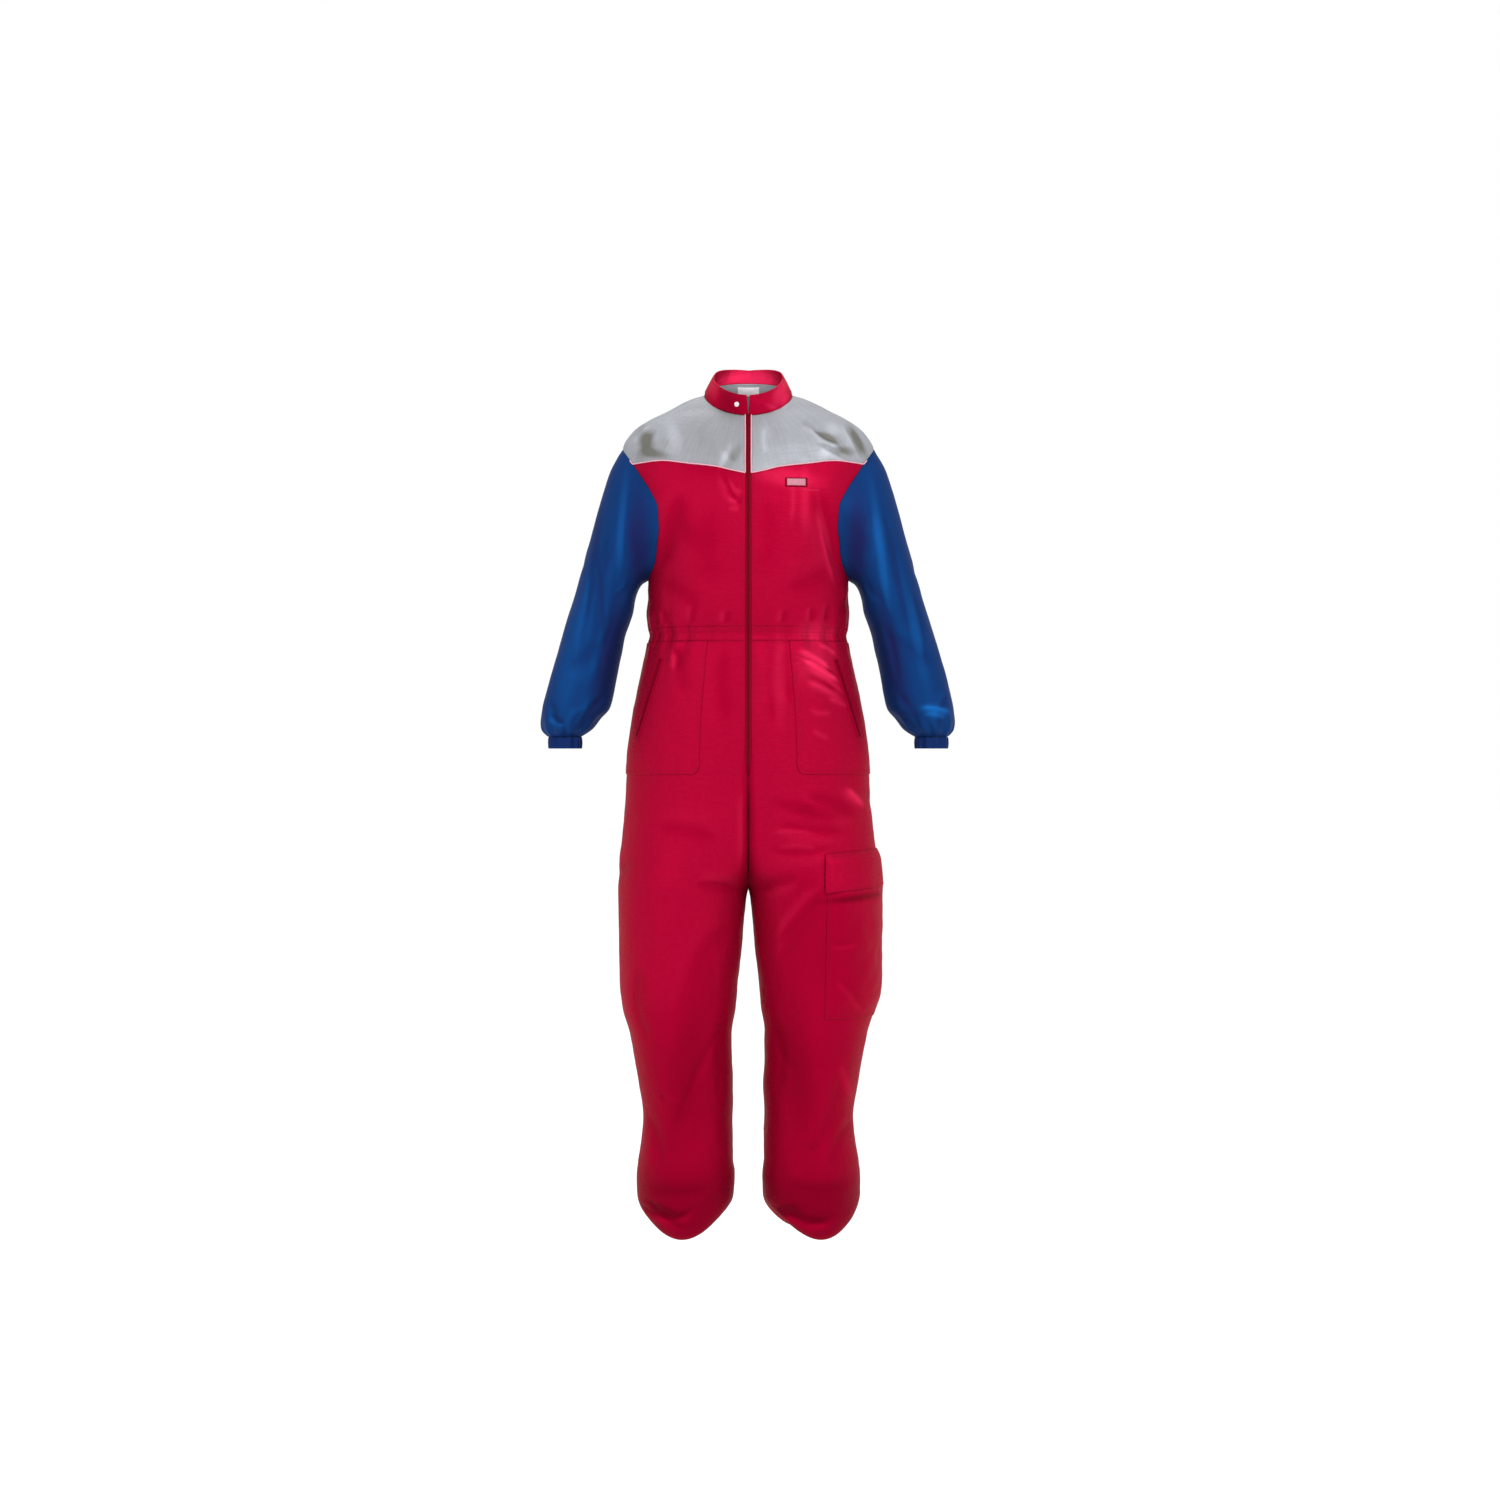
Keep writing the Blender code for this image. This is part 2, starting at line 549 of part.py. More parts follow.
def edge_shift(edge, inside, normals, ring):
    """For each point of an edge, a step into the piece that clears it of the seam by one unit."""
    def pairs(values):
        return (values, np.roll(values, -1, 0)) if ring else (values[:-1], values[1:])

    first, second = pairs(edge)
    side = unit(np.cross(sum(pairs(normals)), second - first))
    inward = sum(pairs(inside)) - (first + second)
    side = side * np.where((side * inward).sum(-1, keepdims=True) < 0, -1.0, 1.0)
    before = np.roll(side, 1, 0) if ring else np.vstack([side[:1], side])
    after = side if ring else np.vstack([side, side[-1:]])
    closeness = np.clip((before * after).sum(-1, keepdims=True), -0.5, 1.0)
    return (before + after) / (1 + closeness)


def drawn_in(grid, normals, ring):
    """The grid with its edges half a seam gap inside, so that neighbours stay apart."""
    shift = np.zeros_like(grid)
    shift[0] += edge_shift(grid[0], grid[1], normals[0], ring)
    shift[-1] += edge_shift(grid[-1], grid[-2], normals[-1], ring)
    if not ring:
        shift[:, 0] += edge_shift(grid[:, 0], grid[:, 1], normals[:, 0], False)
        shift[:, -1] += edge_shift(grid[:, -1], grid[:, -2], normals[:, -1], False)
    return grid + shift * SEAM_GAP / 2


MATERIALS = {}


def material(name, colour, roughness, metallic=0.0):
    if name not in MATERIALS:
        made = bpy.data.materials.new(name)
        made.use_nodes = True
        shader = made.node_tree.nodes["Principled BSDF"]
        shader.inputs["Base Color"].default_value = (*colour, 1.0)
        shader.inputs["Roughness"].default_value = roughness
        shader.inputs["Metallic"].default_value = metallic
        MATERIALS[name] = made
    return MATERIALS[name]


def nylon(name, colour):
    return material(name, colour, 0.45)


COLLECTION = bpy.data.collections.new("racing_jumpsuit")


def add_object(name, points, faces, finish):
    mesh = bpy.data.meshes.new(name)
    mesh.from_pydata([tuple(p) for p in points], [], faces)
    mesh.validate()
    mesh.shade_smooth()
    mesh.set_sharp_from_angle(angle=math.radians(50))
    mesh.materials.append(finish)
    made = bpy.data.objects.new(name, mesh)
    COLLECTION.objects.link(made)
    return made


def wall(name, grid, normals, thickness, finish, ring=False, raised=0.0):
    """A wall of cloth through the grid. Its inner side follows the normals that sewn pieces share,
    so that two walls meet squarely at their seam, which a Solidify on each alone can't do."""
    outer = drawn_in(grid, normals, ring) + normals * raised
    inner = outer - normals * thickness
    rows, columns = outer.shape[:2]
    count = rows * columns
    points = np.concatenate([outer.reshape(-1, 3), inner.reshape(-1, 3)])

    def at(row, column, layer):
        return layer * count + row * columns + column % columns

    faces = []
    last = columns if ring else columns - 1
    for i in range(rows - 1):
        for j in range(last):
            faces.append((at(i, j, 0), at(i, j + 1, 0), at(i + 1, j + 1, 0), at(i + 1, j, 0)))
            faces.append((at(i, j, 1), at(i + 1, j, 1), at(i + 1, j + 1, 1), at(i, j + 1, 1)))

    def close_edge(a, b):
        """Closes the wall's edge between two points with the diagonal that the sewn piece has too."""
        order = [tuple(np.round(grid[i, j % columns], 5)) for i, j in (a, b)]
        out_a, in_a, out_b, in_b = at(*a, 0), at(*a, 1), at(*b, 0), at(*b, 1)
        if order[0] < order[1]:
            faces.extend([(in_a, in_b, out_a), (in_b, out_b, out_a)])
        else:
            faces.extend([(in_a, in_b, out_b), (in_a, out_b, out_a)])

    for j in range(last):
        close_edge((0, j), (0, j + 1))
        close_edge((rows - 1, j + 1), (rows - 1, j))
    if not ring:
        for i in range(rows - 1):
            close_edge((i + 1, 0), (i, 0))
            close_edge((i, columns - 1), (i + 1, columns - 1))
    return add_object(name, points, faces, finish)


def own_normals(grid):
    across = np.gradient(grid, axis=1)
    up = np.gradient(grid, axis=0)
    return unit(np.cross(across, up))


def draped_on(carrier, places, origin_y, toward):
    """Points and normals where lines along Y from the places (x, z) meet the carrier."""
    tree = BVHTree.FromPolygons(
        [v.co for v in carrier.data.vertices], [p.vertices for p in carrier.data.polygons]
    )
    points, normals = np.zeros(places.shape[:-1] + (3,)), np.zeros(places.shape[:-1] + (3,))
    for index in np.ndindex(places.shape[:-1]):
        x, z = places[index]
        hit, normal, _, _ = tree.ray_cast(Vector((x, origin_y, z)), Vector((0, toward, 0)))
        if hit is None:
            raise ValueError(f"nothing of {carrier.name} lies at {x:.3f}, {z:.3f}")
        points[index], normals[index] = hit, normal
    return points, normals


def patch_on(name, carrier, low, high, columns, rows, finish, thickness=TRIM, inside=False):
    """A rectangular patch over the places from low to high (x, z), lying on the carrier."""
    u, v = grid_of(columns, rows)
    places = np.stack([mixed(low[0], high[0], u), mixed(low[1], high[1], v)], -1)
    points, normals = draped_on(carrier, places, 0.0 if inside else -1.0, 1.0)
    return wall(name, points, normals, thickness, finish, raised=DRAPED_GAP + thickness)


def strip_on(name, carrier, start, end, width, finish, sections=18):
    """A narrow strip from start to end (x, z), lying on the carrier, its rows running upwards."""
    start, end = np.array(start), np.array(end)
    run = unit(end - start)
    across = np.array([run[1], -run[0]]) * width / 2
    v = np.linspace(0, 1, sections + 1)[:, None]
    middle = mixed(start, end, v)
    places = np.stack([middle - across, middle, middle + across], axis=1)
    points, normals = draped_on(carrier, places, -1.0, 1.0)
    return wall(name, points, normals, TRIM, finish, raised=DRAPED_GAP + TRIM)


CARGO_BOTTOM, CARGO_TOP = -1.101, -0.833
CARGO_FRONT_X, CARGO_BACK_X = (0.133, 0.138), (0.206, 0.215)
CARGO_PUFF = 0.0055          # how far the pocket's middle stands off the leg
CARGO_SIDE_SHARE = 0.16      # share of the pocket's width that each side takes to rise
CARGO_END_SHARE = 0.14       # share of its height that its top and bottom take
FLAP_BOTTOM, FLAP_TOP, FLAP_TILT = -0.881, -0.815, 0.011
FLAP_OVERHANG = 0.003
FLAP_RISE_SHARE = 0.35       # share of the flap's height over which it climbs onto the pocket
FLAP_OVER_POCKET = 0.0017    # from the pocket's outside to the flap's outside


def thigh_patch(low, high, widen, columns, rows, tilt=0.0):
    """A grid over the outer side of the left thigh, and u and v over it."""
    u, v = grid_of(columns, rows)
    z = mixed(low, high, v)
    share = np.clip((z - CARGO_BOTTOM) / (CARGO_TOP - CARGO_BOTTOM), 0, 1.2)
    first = leg_turn(mixed(*CARGO_FRONT_X, share) - widen, z)
    last = leg_turn(mixed(*CARGO_BACK_X, share) - widen, z, True)
    turn = mixed(first, last, u)
    z = z + tilt * np.sin(np.radians(np.clip(turn, 0, 180)))
    return leg(turn, z, 0 * u), u, v


def cargo_puff(share_across, share_up):
    across = np.clip(np.minimum(share_across, 1 - share_across) / CARGO_SIDE_SHARE, 0, 1)
    up = np.clip(np.minimum(share_up, 1 - share_up) / CARGO_END_SHARE, 0, 1)
    return CARGO_PUFF * np.sin(across * math.pi / 2) * np.sin(up * math.pi / 2)


def add_cargo_pocket():
    grid, u, v = thigh_patch(CARGO_BOTTOM, CARGO_TOP, 0.0, 14, 10)
    normals = own_normals(grid)
    grid = grid + normals * (cargo_puff(u, v) + DRAPED_GAP + TRIM)[..., None]
    wall("cargo_pocket", grid, own_normals(grid), TRIM, nylon("red nylon", RED))

    grid, u, v = thigh_patch(FLAP_BOTTOM, FLAP_TOP, FLAP_OVERHANG, 16, 4, FLAP_TILT)
    normals = own_normals(grid)
    climb = np.sin(np.clip((1 - v) / FLAP_RISE_SHARE, 0, 1) * math.pi / 2)
    lift = DRAPED_GAP + TRIM + (CARGO_PUFF + FLAP_OVER_POCKET) * climb
    grid = grid + normals * lift[..., None]
    wall("cargo_flap", grid, own_normals(grid), TRIM, nylon("red nylon", RED))


def add_snap(carrier):
    place = np.array([[SNAP_X, SNAP_Z]])
    points, normals = draped_on(carrier, place, -1.0, 1.0)
    bpy.ops.mesh.primitive_cylinder_add(vertices=24, radius=SNAP_RADIUS, depth=SNAP_HEIGHT)
    snap = bpy.context.object
    snap.name = snap.data.name = "collar_snap"
    normal = Vector(normals[0])
    snap.rotation_euler = normal.to_track_quat("Z", "Y").to_euler()
    snap.location = Vector(points[0]) + normal * (SNAP_GAP + SNAP_HEIGHT / 2)
    rim = snap.modifiers.new("Rounded rim", "BEVEL")
    rim.width, rim.segments, rim.limit_method = 0.0006, 2, "ANGLE"
    snap.data.materials.append(material("pearl snap", WHITE, 0.25))
    for collection in list(snap.users_collection):
        collection.objects.unlink(snap)
    COLLECTION.objects.link(snap)


def add_pockets(grids, normals, pieces):
    pocket_rows = LEG_ROWS.index(ZIP_TIP)
    for name, flip in (("left", False), ("right", True)):
        columns = slice(0, QUARTER + 1 - POCKET_FIRST_COLUMN) if flip else slice(POCKET_FIRST_COLUMN, None)
        inner = -1 if flip else 0
        grid = grids["leg_front_" + name][0][-pocket_rows - 1:, columns]
        normal = normals["leg_front_" + name][-pocket_rows - 1:, columns]
        grid = grid.copy()
        beside = -2 if flip else 1
        grid[0, inner] = 0.4 * grid[0, inner] + 0.3 * (grid[1, inner] + grid[0, beside])
        pieces["hip_pocket_" + name] = wall(
            "hip_pocket_" + name, grid, normal, TRIM, nylon("red nylon", RED), raised=LAID_GAP + TRIM
        )
        side = -1.0 if flip else 1.0
        strip_on(
            "pocket_zip_" + name, pieces["hip_pocket_" + name],
            (side * POCKET_ZIP_LOW[0], POCKET_ZIP_LOW[1]), (side * POCKET_ZIP_HIGH[0], POCKET_ZIP_HIGH[1]),
            POCKET_ZIP_WIDTH, nylon("zip tape", DARK_RED),
        )


def main():
    for old in list(bpy.data.objects):
        bpy.data.objects.remove(old)
    bpy.context.scene.collection.children.link(COLLECTION)

    red = nylon("red nylon", RED)
    silver = nylon("silver nylon", SILVER)
    blue = nylon("blue nylon", BLUE)
    front, back = half_panel("front"), half_panel("back")
    yoke_front, yoke_back = half_yoke("front"), half_yoke("back")
    arm, arm_end, hem = sleeve(), cuff(), hem_band()
    leg_fronts = {"left": leg_panel("front", LEFT_LEAN), "right": other_side(leg_panel("front", RIGHT_LEAN))}
    leg_backs = {"left": leg_panel("back", LEFT_LEAN), "right": other_side(leg_panel("back", RIGHT_LEAN))}

    heights = (WAIST_BOTTOM, WAIST_MIDDLE, WAIST_TOP)
    u = np.linspace(0, 1, QUARTER + 1)
    quarter = np.array([body(mixed(body_turn(ZIP_HALF_WIDTH, z), 90.0, u), z + 0 * u, u) for z in heights])
    rear = np.array([body(mixed(90.0, 180.0, u), z + 0 * u, 1 - u) for z in heights])
    half_band = np.concatenate([quarter, rear[:, 1:]], axis=1)
    band = np.concatenate([half_band, other_side(half_band)[:, 1:]], axis=1)

    zip_rows = LEG_ROWS.index(ZIP_TIP)
    left_edge = np.vstack([
        leg_fronts["left"][-zip_rows - 1:, 0], quarter[1:, 0], front[1:, 0], yoke_front[1:, 0],
    ])
    centre = left_edge * np.array([0.0, 1.0, 1.0])
    zip_strip = np.stack([mirrored(left_edge), centre, left_edge], axis=1)

    def whole_back(half):
        half = half[:, ::-1]
        return np.concatenate([half, other_side(half)[:, 1:]], axis=1)

    neck = np.vstack([yoke_front[-1], yoke_back[-1][::-1][1:]])
    neck_band = collar(neck, centre[-1])

    pieces = {
        "front_left": (front, False, red),
        "front_right": (other_side(front), False, red),
        "back": (whole_back(back), False, red),
        "yoke_front_left": (yoke_front, False, silver),
        "yoke_front_right": (other_side(yoke_front), False, silver),
        "yoke_back": (whole_back(yoke_back), False, silver),
        "sleeve_left": (arm, True, blue),
        "sleeve_right": (other_side(arm), True, blue),
        "cuff_left": (arm_end, True, blue),
        "cuff_right": (other_side(arm_end), True, blue),
        "waistband": (band, False, red),
        "collar": (neck_band, False, red),
        "leg_front_left": (leg_fronts["left"], False, red),
        "leg_front_right": (leg_fronts["right"], False, red),
        "leg_back_left": (leg_backs["left"], False, red),
        "leg_back_right": (leg_backs["right"], False, red),
        "hem_left": (hem, True, red),
        "hem_right": (other_side(hem), True, red),
        "front_zip": (zip_strip, False, nylon("zip tape", DARK_RED)),
    }
    grids = {name: (grid, ring) for name, (grid, ring, _) in pieces.items()}
    normals = shared_normals(grids)
    made = {}
    for name, (grid, ring, finish) in pieces.items():
        thickness = TRIM if name == "front_zip" else CLOTH
        made[name] = wall(name, grid, normals[name], thickness, finish, ring=ring)

    add_pockets(grids, normals, made)
    add_cargo_pocket()
    add_snap(made["collar"])
    patch_on(
        "chest_label", made["front_left"], CHEST_LABEL_LOW, CHEST_LABEL_HIGH, 5, 3,
        nylon("chest label", DARK_RED),
    )
    patch_on(
        "neck_label", made["yoke_back"], NECK_LABEL_LOW, NECK_LABEL_HIGH, 4, 2,
        material("white label", WHITE, 0.7), inside=True,
    )


main()
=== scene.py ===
"""The looks of a one-piece racing jumpsuit, filled out as if it were worn.

Metres, +Z up. The front faces -Y and the wearer's left is +X. Every cut piece is a thin shell of nylon
with its creases, gathers and sewing, on the form of the solid of the same name.
A turn is an angle round the body or a leg: 0 at the front, 90 at the outer side, 180 at the back.
"""

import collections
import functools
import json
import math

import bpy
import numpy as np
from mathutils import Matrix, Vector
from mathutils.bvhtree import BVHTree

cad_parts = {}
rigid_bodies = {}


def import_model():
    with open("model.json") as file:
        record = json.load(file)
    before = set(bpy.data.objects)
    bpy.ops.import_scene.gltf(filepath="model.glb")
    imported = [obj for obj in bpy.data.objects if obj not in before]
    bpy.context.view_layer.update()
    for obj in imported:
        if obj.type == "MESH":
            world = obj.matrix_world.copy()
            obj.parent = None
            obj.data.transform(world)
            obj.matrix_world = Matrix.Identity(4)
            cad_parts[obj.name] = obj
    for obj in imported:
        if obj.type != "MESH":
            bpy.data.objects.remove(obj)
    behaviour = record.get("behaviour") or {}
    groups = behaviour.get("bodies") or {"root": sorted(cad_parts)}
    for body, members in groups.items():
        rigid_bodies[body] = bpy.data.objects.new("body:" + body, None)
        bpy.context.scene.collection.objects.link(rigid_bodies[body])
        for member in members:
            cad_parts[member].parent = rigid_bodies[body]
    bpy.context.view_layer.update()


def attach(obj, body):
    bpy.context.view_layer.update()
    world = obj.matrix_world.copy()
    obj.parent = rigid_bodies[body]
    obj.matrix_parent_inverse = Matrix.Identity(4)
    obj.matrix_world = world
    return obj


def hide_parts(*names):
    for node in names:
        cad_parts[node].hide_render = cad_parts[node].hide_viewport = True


bl_info = {
    "name": "Racing Jumpsuit",
    "version": (1, 0, 0),
    "blender": (4, 5, 0),
    "location": "View3D > Sidebar > Jumpsuit",
    "description": "Builds the cloth, sewing, zips and labels of a nylon racing jumpsuit",
    "category": "Object",
}

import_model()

# Places on the body, the same as in the solids.
WAIST_TOP, WAIST_MIDDLE, WAIST_BOTTOM = -0.4160, -0.4285, -0.4409
ARMPIT = -0.330
ARMHOLE_STEPS, YOKE_STEPS, SIDE_ROWS = 10, 2, 4
ZIP_HALF_WIDTH, ZIP_END, ZIP_TIP, ZIP_TIP_HALF_WIDTH = 0.0053, -0.6436, -0.6744, 0.0008
CROTCH = -0.8766
NECK_HALF_WIDTH = 0.0785
NECK_SEAM = (-0.043, 0.000, 0.028)
COLLAR_TOP = (-0.008, 0.031, 0.053)
COLLAR_HALF_WIDTH, COLLAR_FRONT, COLLAR_BACK = 0.0615, 0.066, 0.072
COLLAR_CORNER, COLLAR_NOTCH, COLLAR_NOTCH_REACH = 0.006, 0.0025, 0.07
SNAP_X, SNAP_Z, SNAP_RADIUS = -0.0201, -0.0240, 0.0043
POCKET_ZIP_LOW, POCKET_ZIP_HIGH, POCKET_ZIP_WIDTH = (0.1960, -0.6080), (0.1530, -0.4720), 0.009
POCKET_START = 0.25     # where round the front of a leg, from the centre line at 0, a hip pocket starts
CHEST_LABEL_LOW, CHEST_LABEL_HIGH = (0.0640, -0.1735), (0.1030, -0.1570)
NECK_LABEL_LOW, NECK_LABEL_HIGH = (-0.0196, 0.006), (0.0196, 0.022)
LEG_TUBE_END, FOLD_LOW, FOLD_RISE = -1.360, -1.490, 0.050
HEM_TOP, HEM_BOTTOM, HEM_RADIUS = -1.449, -1.462, 0.042
LEANS = {"left": 14.0, "right": 4.0}
SLEEVE_RINGS, CAP_FADE = 14, 0.42
CUFF_OUTER, CUFF_INNER, CUFF_BOTTOM = 0.3538, 0.2969, -0.6285
CARGO_BOTTOM, CARGO_TOP = -1.101, -0.833
CARGO_FRONT_X, CARGO_BACK_X = (0.133, 0.138), (0.206, 0.215)
CARGO_PUFF, CARGO_SIDE_SHARE, CARGO_END_SHARE = 0.0052, 0.16, 0.14
FLAP_BOTTOM, FLAP_TOP, FLAP_TILT, FLAP_OVERHANG, FLAP_RISE_SHARE = -0.881, -0.815, 0.011, 0.003, 0.35

# Gathers: how many on a half or a ring, how deep, and how far they run out.
WAIST_GATHERS, WAIST_GATHER_DEPTH, WAIST_GATHER_REACH = 6, 0.0020, 0.022
WAIST_PLEATS, WAIST_PLEAT_DEPTH, WAIST_PLEAT_REACH = 19, 0.00030, 0.010
CUFF_GATHERS, CUFF_GATHER_DEPTH = 10, 0.0014
CUFF_PLEATS, CUFF_PLEAT_DEPTH, CUFF_FULLNESS = 31, 0.0004, 0.0008
SLEEVE_GATHERS, SLEEVE_GATHER_DEPTH, SLEEVE_GATHER_START, SLEEVE_GATHER_RUN = 17, 0.0022, 11.0, 2.2
HEM_GATHERS, HEM_GATHER_DEPTH = 12, 0.0016
COLLAR_FULLNESS = 0.0016

# About how far each form runs across and up, which sets the number of its points.
PANEL_SPAN, YOKE_SPAN, SLEEVE_SPAN, CUFF_SPAN = (0.215, 0.290), (0.270, 0.150), (0.40, 0.530), (0.22, 0.021)
LEG_SPAN, BLOUSE_SPAN, HEM_SPAN = 0.300, 0.30, 0.30
WAIST_SPAN, COLLAR_SPAN = (0.250, 0.025), (0.13, 0.048)
POCKET_SPAN, POCKET_STEP, CARGO_SPAN = (0.150, 0.234), 0.0030, 0.19
FINE, FINER = 0.8, 0.6      # shares of the mesh step on the smaller pieces

DOUBLE_CLOTH, TAPE, THIN_TAPE = 0.0016, 0.0007, 0.0006    # thickness of two layers and of the trims
LIFT_OFF = 0.0002           # under a pocket's edge
HIP_POCKET_LIFT, HIP_POCKET_TURN = 0.0016, 0.0020         # how high its free edges stand, and over what
HIP_CORNER_SHARE, HIP_CORNER_HEIGHT, HIP_CORNER_UP, HIP_CORNER_IN = 0.045, 0.020, 0.006, 0.016
CARGO_LIFT, CARGO_EDGE, CARGO_TURN = 0.0006, 0.0010, 0.012
FLAP_LIFT, FLAP_OVER_POCKET = 0.0014, 0.0018
ZIP_OVERLAP, ZIP_ROWS, ZIP_COLUMNS = 0.04, 260, 15        # the tape tucks under the cloth at each side
POCKET_ZIP_SEWING = 0.85    # widths of the zip from its middle to the sewing round it
LABEL_BORDER = 0.09         # share of the chest label on each side
CHEST_SEWING = (0.096, 0.126), -0.1785        # the short row below the chest label

# How far in from its edge a row of sewing lies, and where up a side edge the armhole starts.
SEWING_IN, ZIP_SEWING_IN, CUFF_END_SEWING_IN = 0.0030, 0.0050, 0.0040
WAIST_SEWING_IN, COLLAR_SEWING_IN, COLLAR_END_SEWING_IN = (0.0026, 0.0095), 0.0035, 0.0040
POCKET_SEWING_IN, CARGO_SEWING_IN, FLAP_TOP_SEWING_IN = (0.0030, 0.0080), (0.0026, 0.0075), (0.0030, 0.0085)
ARMHOLE_STARTS = 0.34
FLY_SEWING = (0.55, 0.995)  # the part of a leg's centre edge that is sewn beside the zip
PIPING_IN, PIPING_LIFT = 0.0003, 0.0010
OTHER_SIDE = {"left": "right", "right": "left"}


class Sections:
    """A short table, one row a section, whose columns are read as smooth curves of the first one."""

    def __init__(self, names, rows):
        values = np.array(sorted(rows), float)
        self.places = values[:, 0]
        self.columns = {name: values[:, i] for i, name in enumerate(names)}

    def read(self, name, place):
        """The column's value at each place, with no overshoot between its rows."""
        x, y = self.places, self.columns[name]
        place = np.asarray(place, float)
        width = np.diff(x)
        rise = np.diff(y) / width
        slope = np.concatenate([rise[:1], np.zeros(len(x) - 2), rise[-1:]])
        same_way = rise[:-1] * rise[1:] > 0
        both = np.where(same_way, rise[:-1] + rise[1:], 1.0)
        slope[1:-1] = np.where(same_way, 2 * rise[:-1] * rise[1:] / both, 0.0)
        i = np.clip(np.searchsorted(x, place, side="right") - 1, 0, len(x) - 2)
        t = np.clip((place - x[i]) / width[i], 0.0, 1.0)
        start = (1 + 2 * t) * (1 - t) ** 2 * y[i] + t * (1 - t) ** 2 * width[i] * slope[i]
        end = t * t * (3 - 2 * t) * y[i + 1] - t * t * (1 - t) * width[i] * slope[i + 1]
        return start + end


BODY = Sections(
    ("z", "half_width", "front", "back"),
    [
        (0.030, 0.0787, 0.002, 0.064),
        (0.014, 0.0786, 0.003, 0.071),
        (0.000, 0.0785, 0.004, 0.078),
        (-0.0053, 0.0950, 0.017, 0.081),
        (-0.0145, 0.1160, 0.032, 0.085),
        (-0.030, 0.1460, 0.046, 0.091),
        (-0.043, 0.1720, 0.060, 0.095),
        (-0.060, 0.1980, 0.073, 0.099),
        (-0.080, 0.2150, 0.086, 0.103),
        (-0.096, 0.2227, 0.095, 0.106),
        (-0.130, 0.2255, 0.107, 0.110),
        (-0.170, 0.2220, 0.117, 0.115),
        (-0.210, 0.2130, 0.124, 0.118),
        (-0.263, 0.1900, 0.128, 0.117),
        (-0.300, 0.1800, 0.129, 0.114),
        (ARMPIT, 0.1780, 0.128, 0.111),
        (-0.386, 0.1796, 0.122, 0.102),
        (WAIST_TOP, 0.1760, 0.114, 0.094),
        (WAIST_MIDDLE, 0.1725, 0.111, 0.091),
        (WAIST_BOTTOM, 0.1755, 0.113, 0.093),
    ],
)
ARMHOLE = Sections(
    ("step", "front_turn", "front_z", "back_turn", "back_z"),
    [
        (0, 90.0, ARMPIT, 90.0, ARMPIT),
        (1, 79.0, -0.324, 101.0, -0.324),
        (2, 68.6, -0.308, 111.0, -0.308),
        (3, 58.8, -0.270, 118.5, -0.272),
        (4, 51.0, -0.235, 123.0, -0.239),
        (5, 48.0, -0.205, 124.0, -0.208),
        (6, 51.0, -0.178, 121.0, -0.180),
        (7, 57.0, -0.152, 117.0, -0.153),
        (8, 64.5, -0.128, 112.0, -0.128),
        (9, 76.0, -0.108, 102.0, -0.108),
        (10, 90.0, -0.096, 90.0, -0.096),
    ],
)
YOKE_SEAM = Sections(
    ("along", "front_z", "back_z"),
    [
        (0.00, -0.1490, -0.149),
        (0.12, -0.1440, -0.149),
        (0.25, -0.1375, -0.148),
        (0.50, -0.1310, -0.145),
        (0.75, -0.1245, -0.139),
        (1.00, -0.1280, -0.128),
    ],
)
SLEEVE = Sections(
    ("ring", "outer_x", "outer_z", "inner_x", "inner_z", "half_depth"),
    [
        (0, 0.2227, -0.0960, 0.1780, -0.3300, 0.0800),
        (1, 0.2436, -0.1330, 0.1890, -0.3380, 0.0790),
        (2, 0.2569, -0.1725, 0.1965, -0.3500, 0.0770),
        (3, 0.2694, -0.2150, 0.2015, -0.3660, 0.0740),
        (4, 0.2809, -0.2580, 0.2045, -0.3860, 0.0710),
        (5, 0.2934, -0.3005, 0.2116, -0.4070, 0.0680),
        (6, 0.3040, -0.3430, 0.2190, -0.4285, 0.0660),
        (7, 0.3174, -0.3860, 0.2245, -0.4550, 0.0640),
        (8, 0.3307, -0.4285, 0.2300, -0.4800, 0.0630),
        (9, 0.3432, -0.4710, 0.2350, -0.5070, 0.0620),
        (10, 0.3556, -0.5140, 0.2400, -0.5340, 0.0620),
        (11, 0.3654, -0.5565, 0.2470, -0.5580, 0.0620),
        (12, 0.3672, -0.5780, 0.2630, -0.5760, 0.0570),
        (13, 0.3636, -0.5955, 0.2790, -0.5950, 0.0460),
        (14, 0.3545, -0.6075, 0.2960, -0.6075, 0.0315),
    ],
)
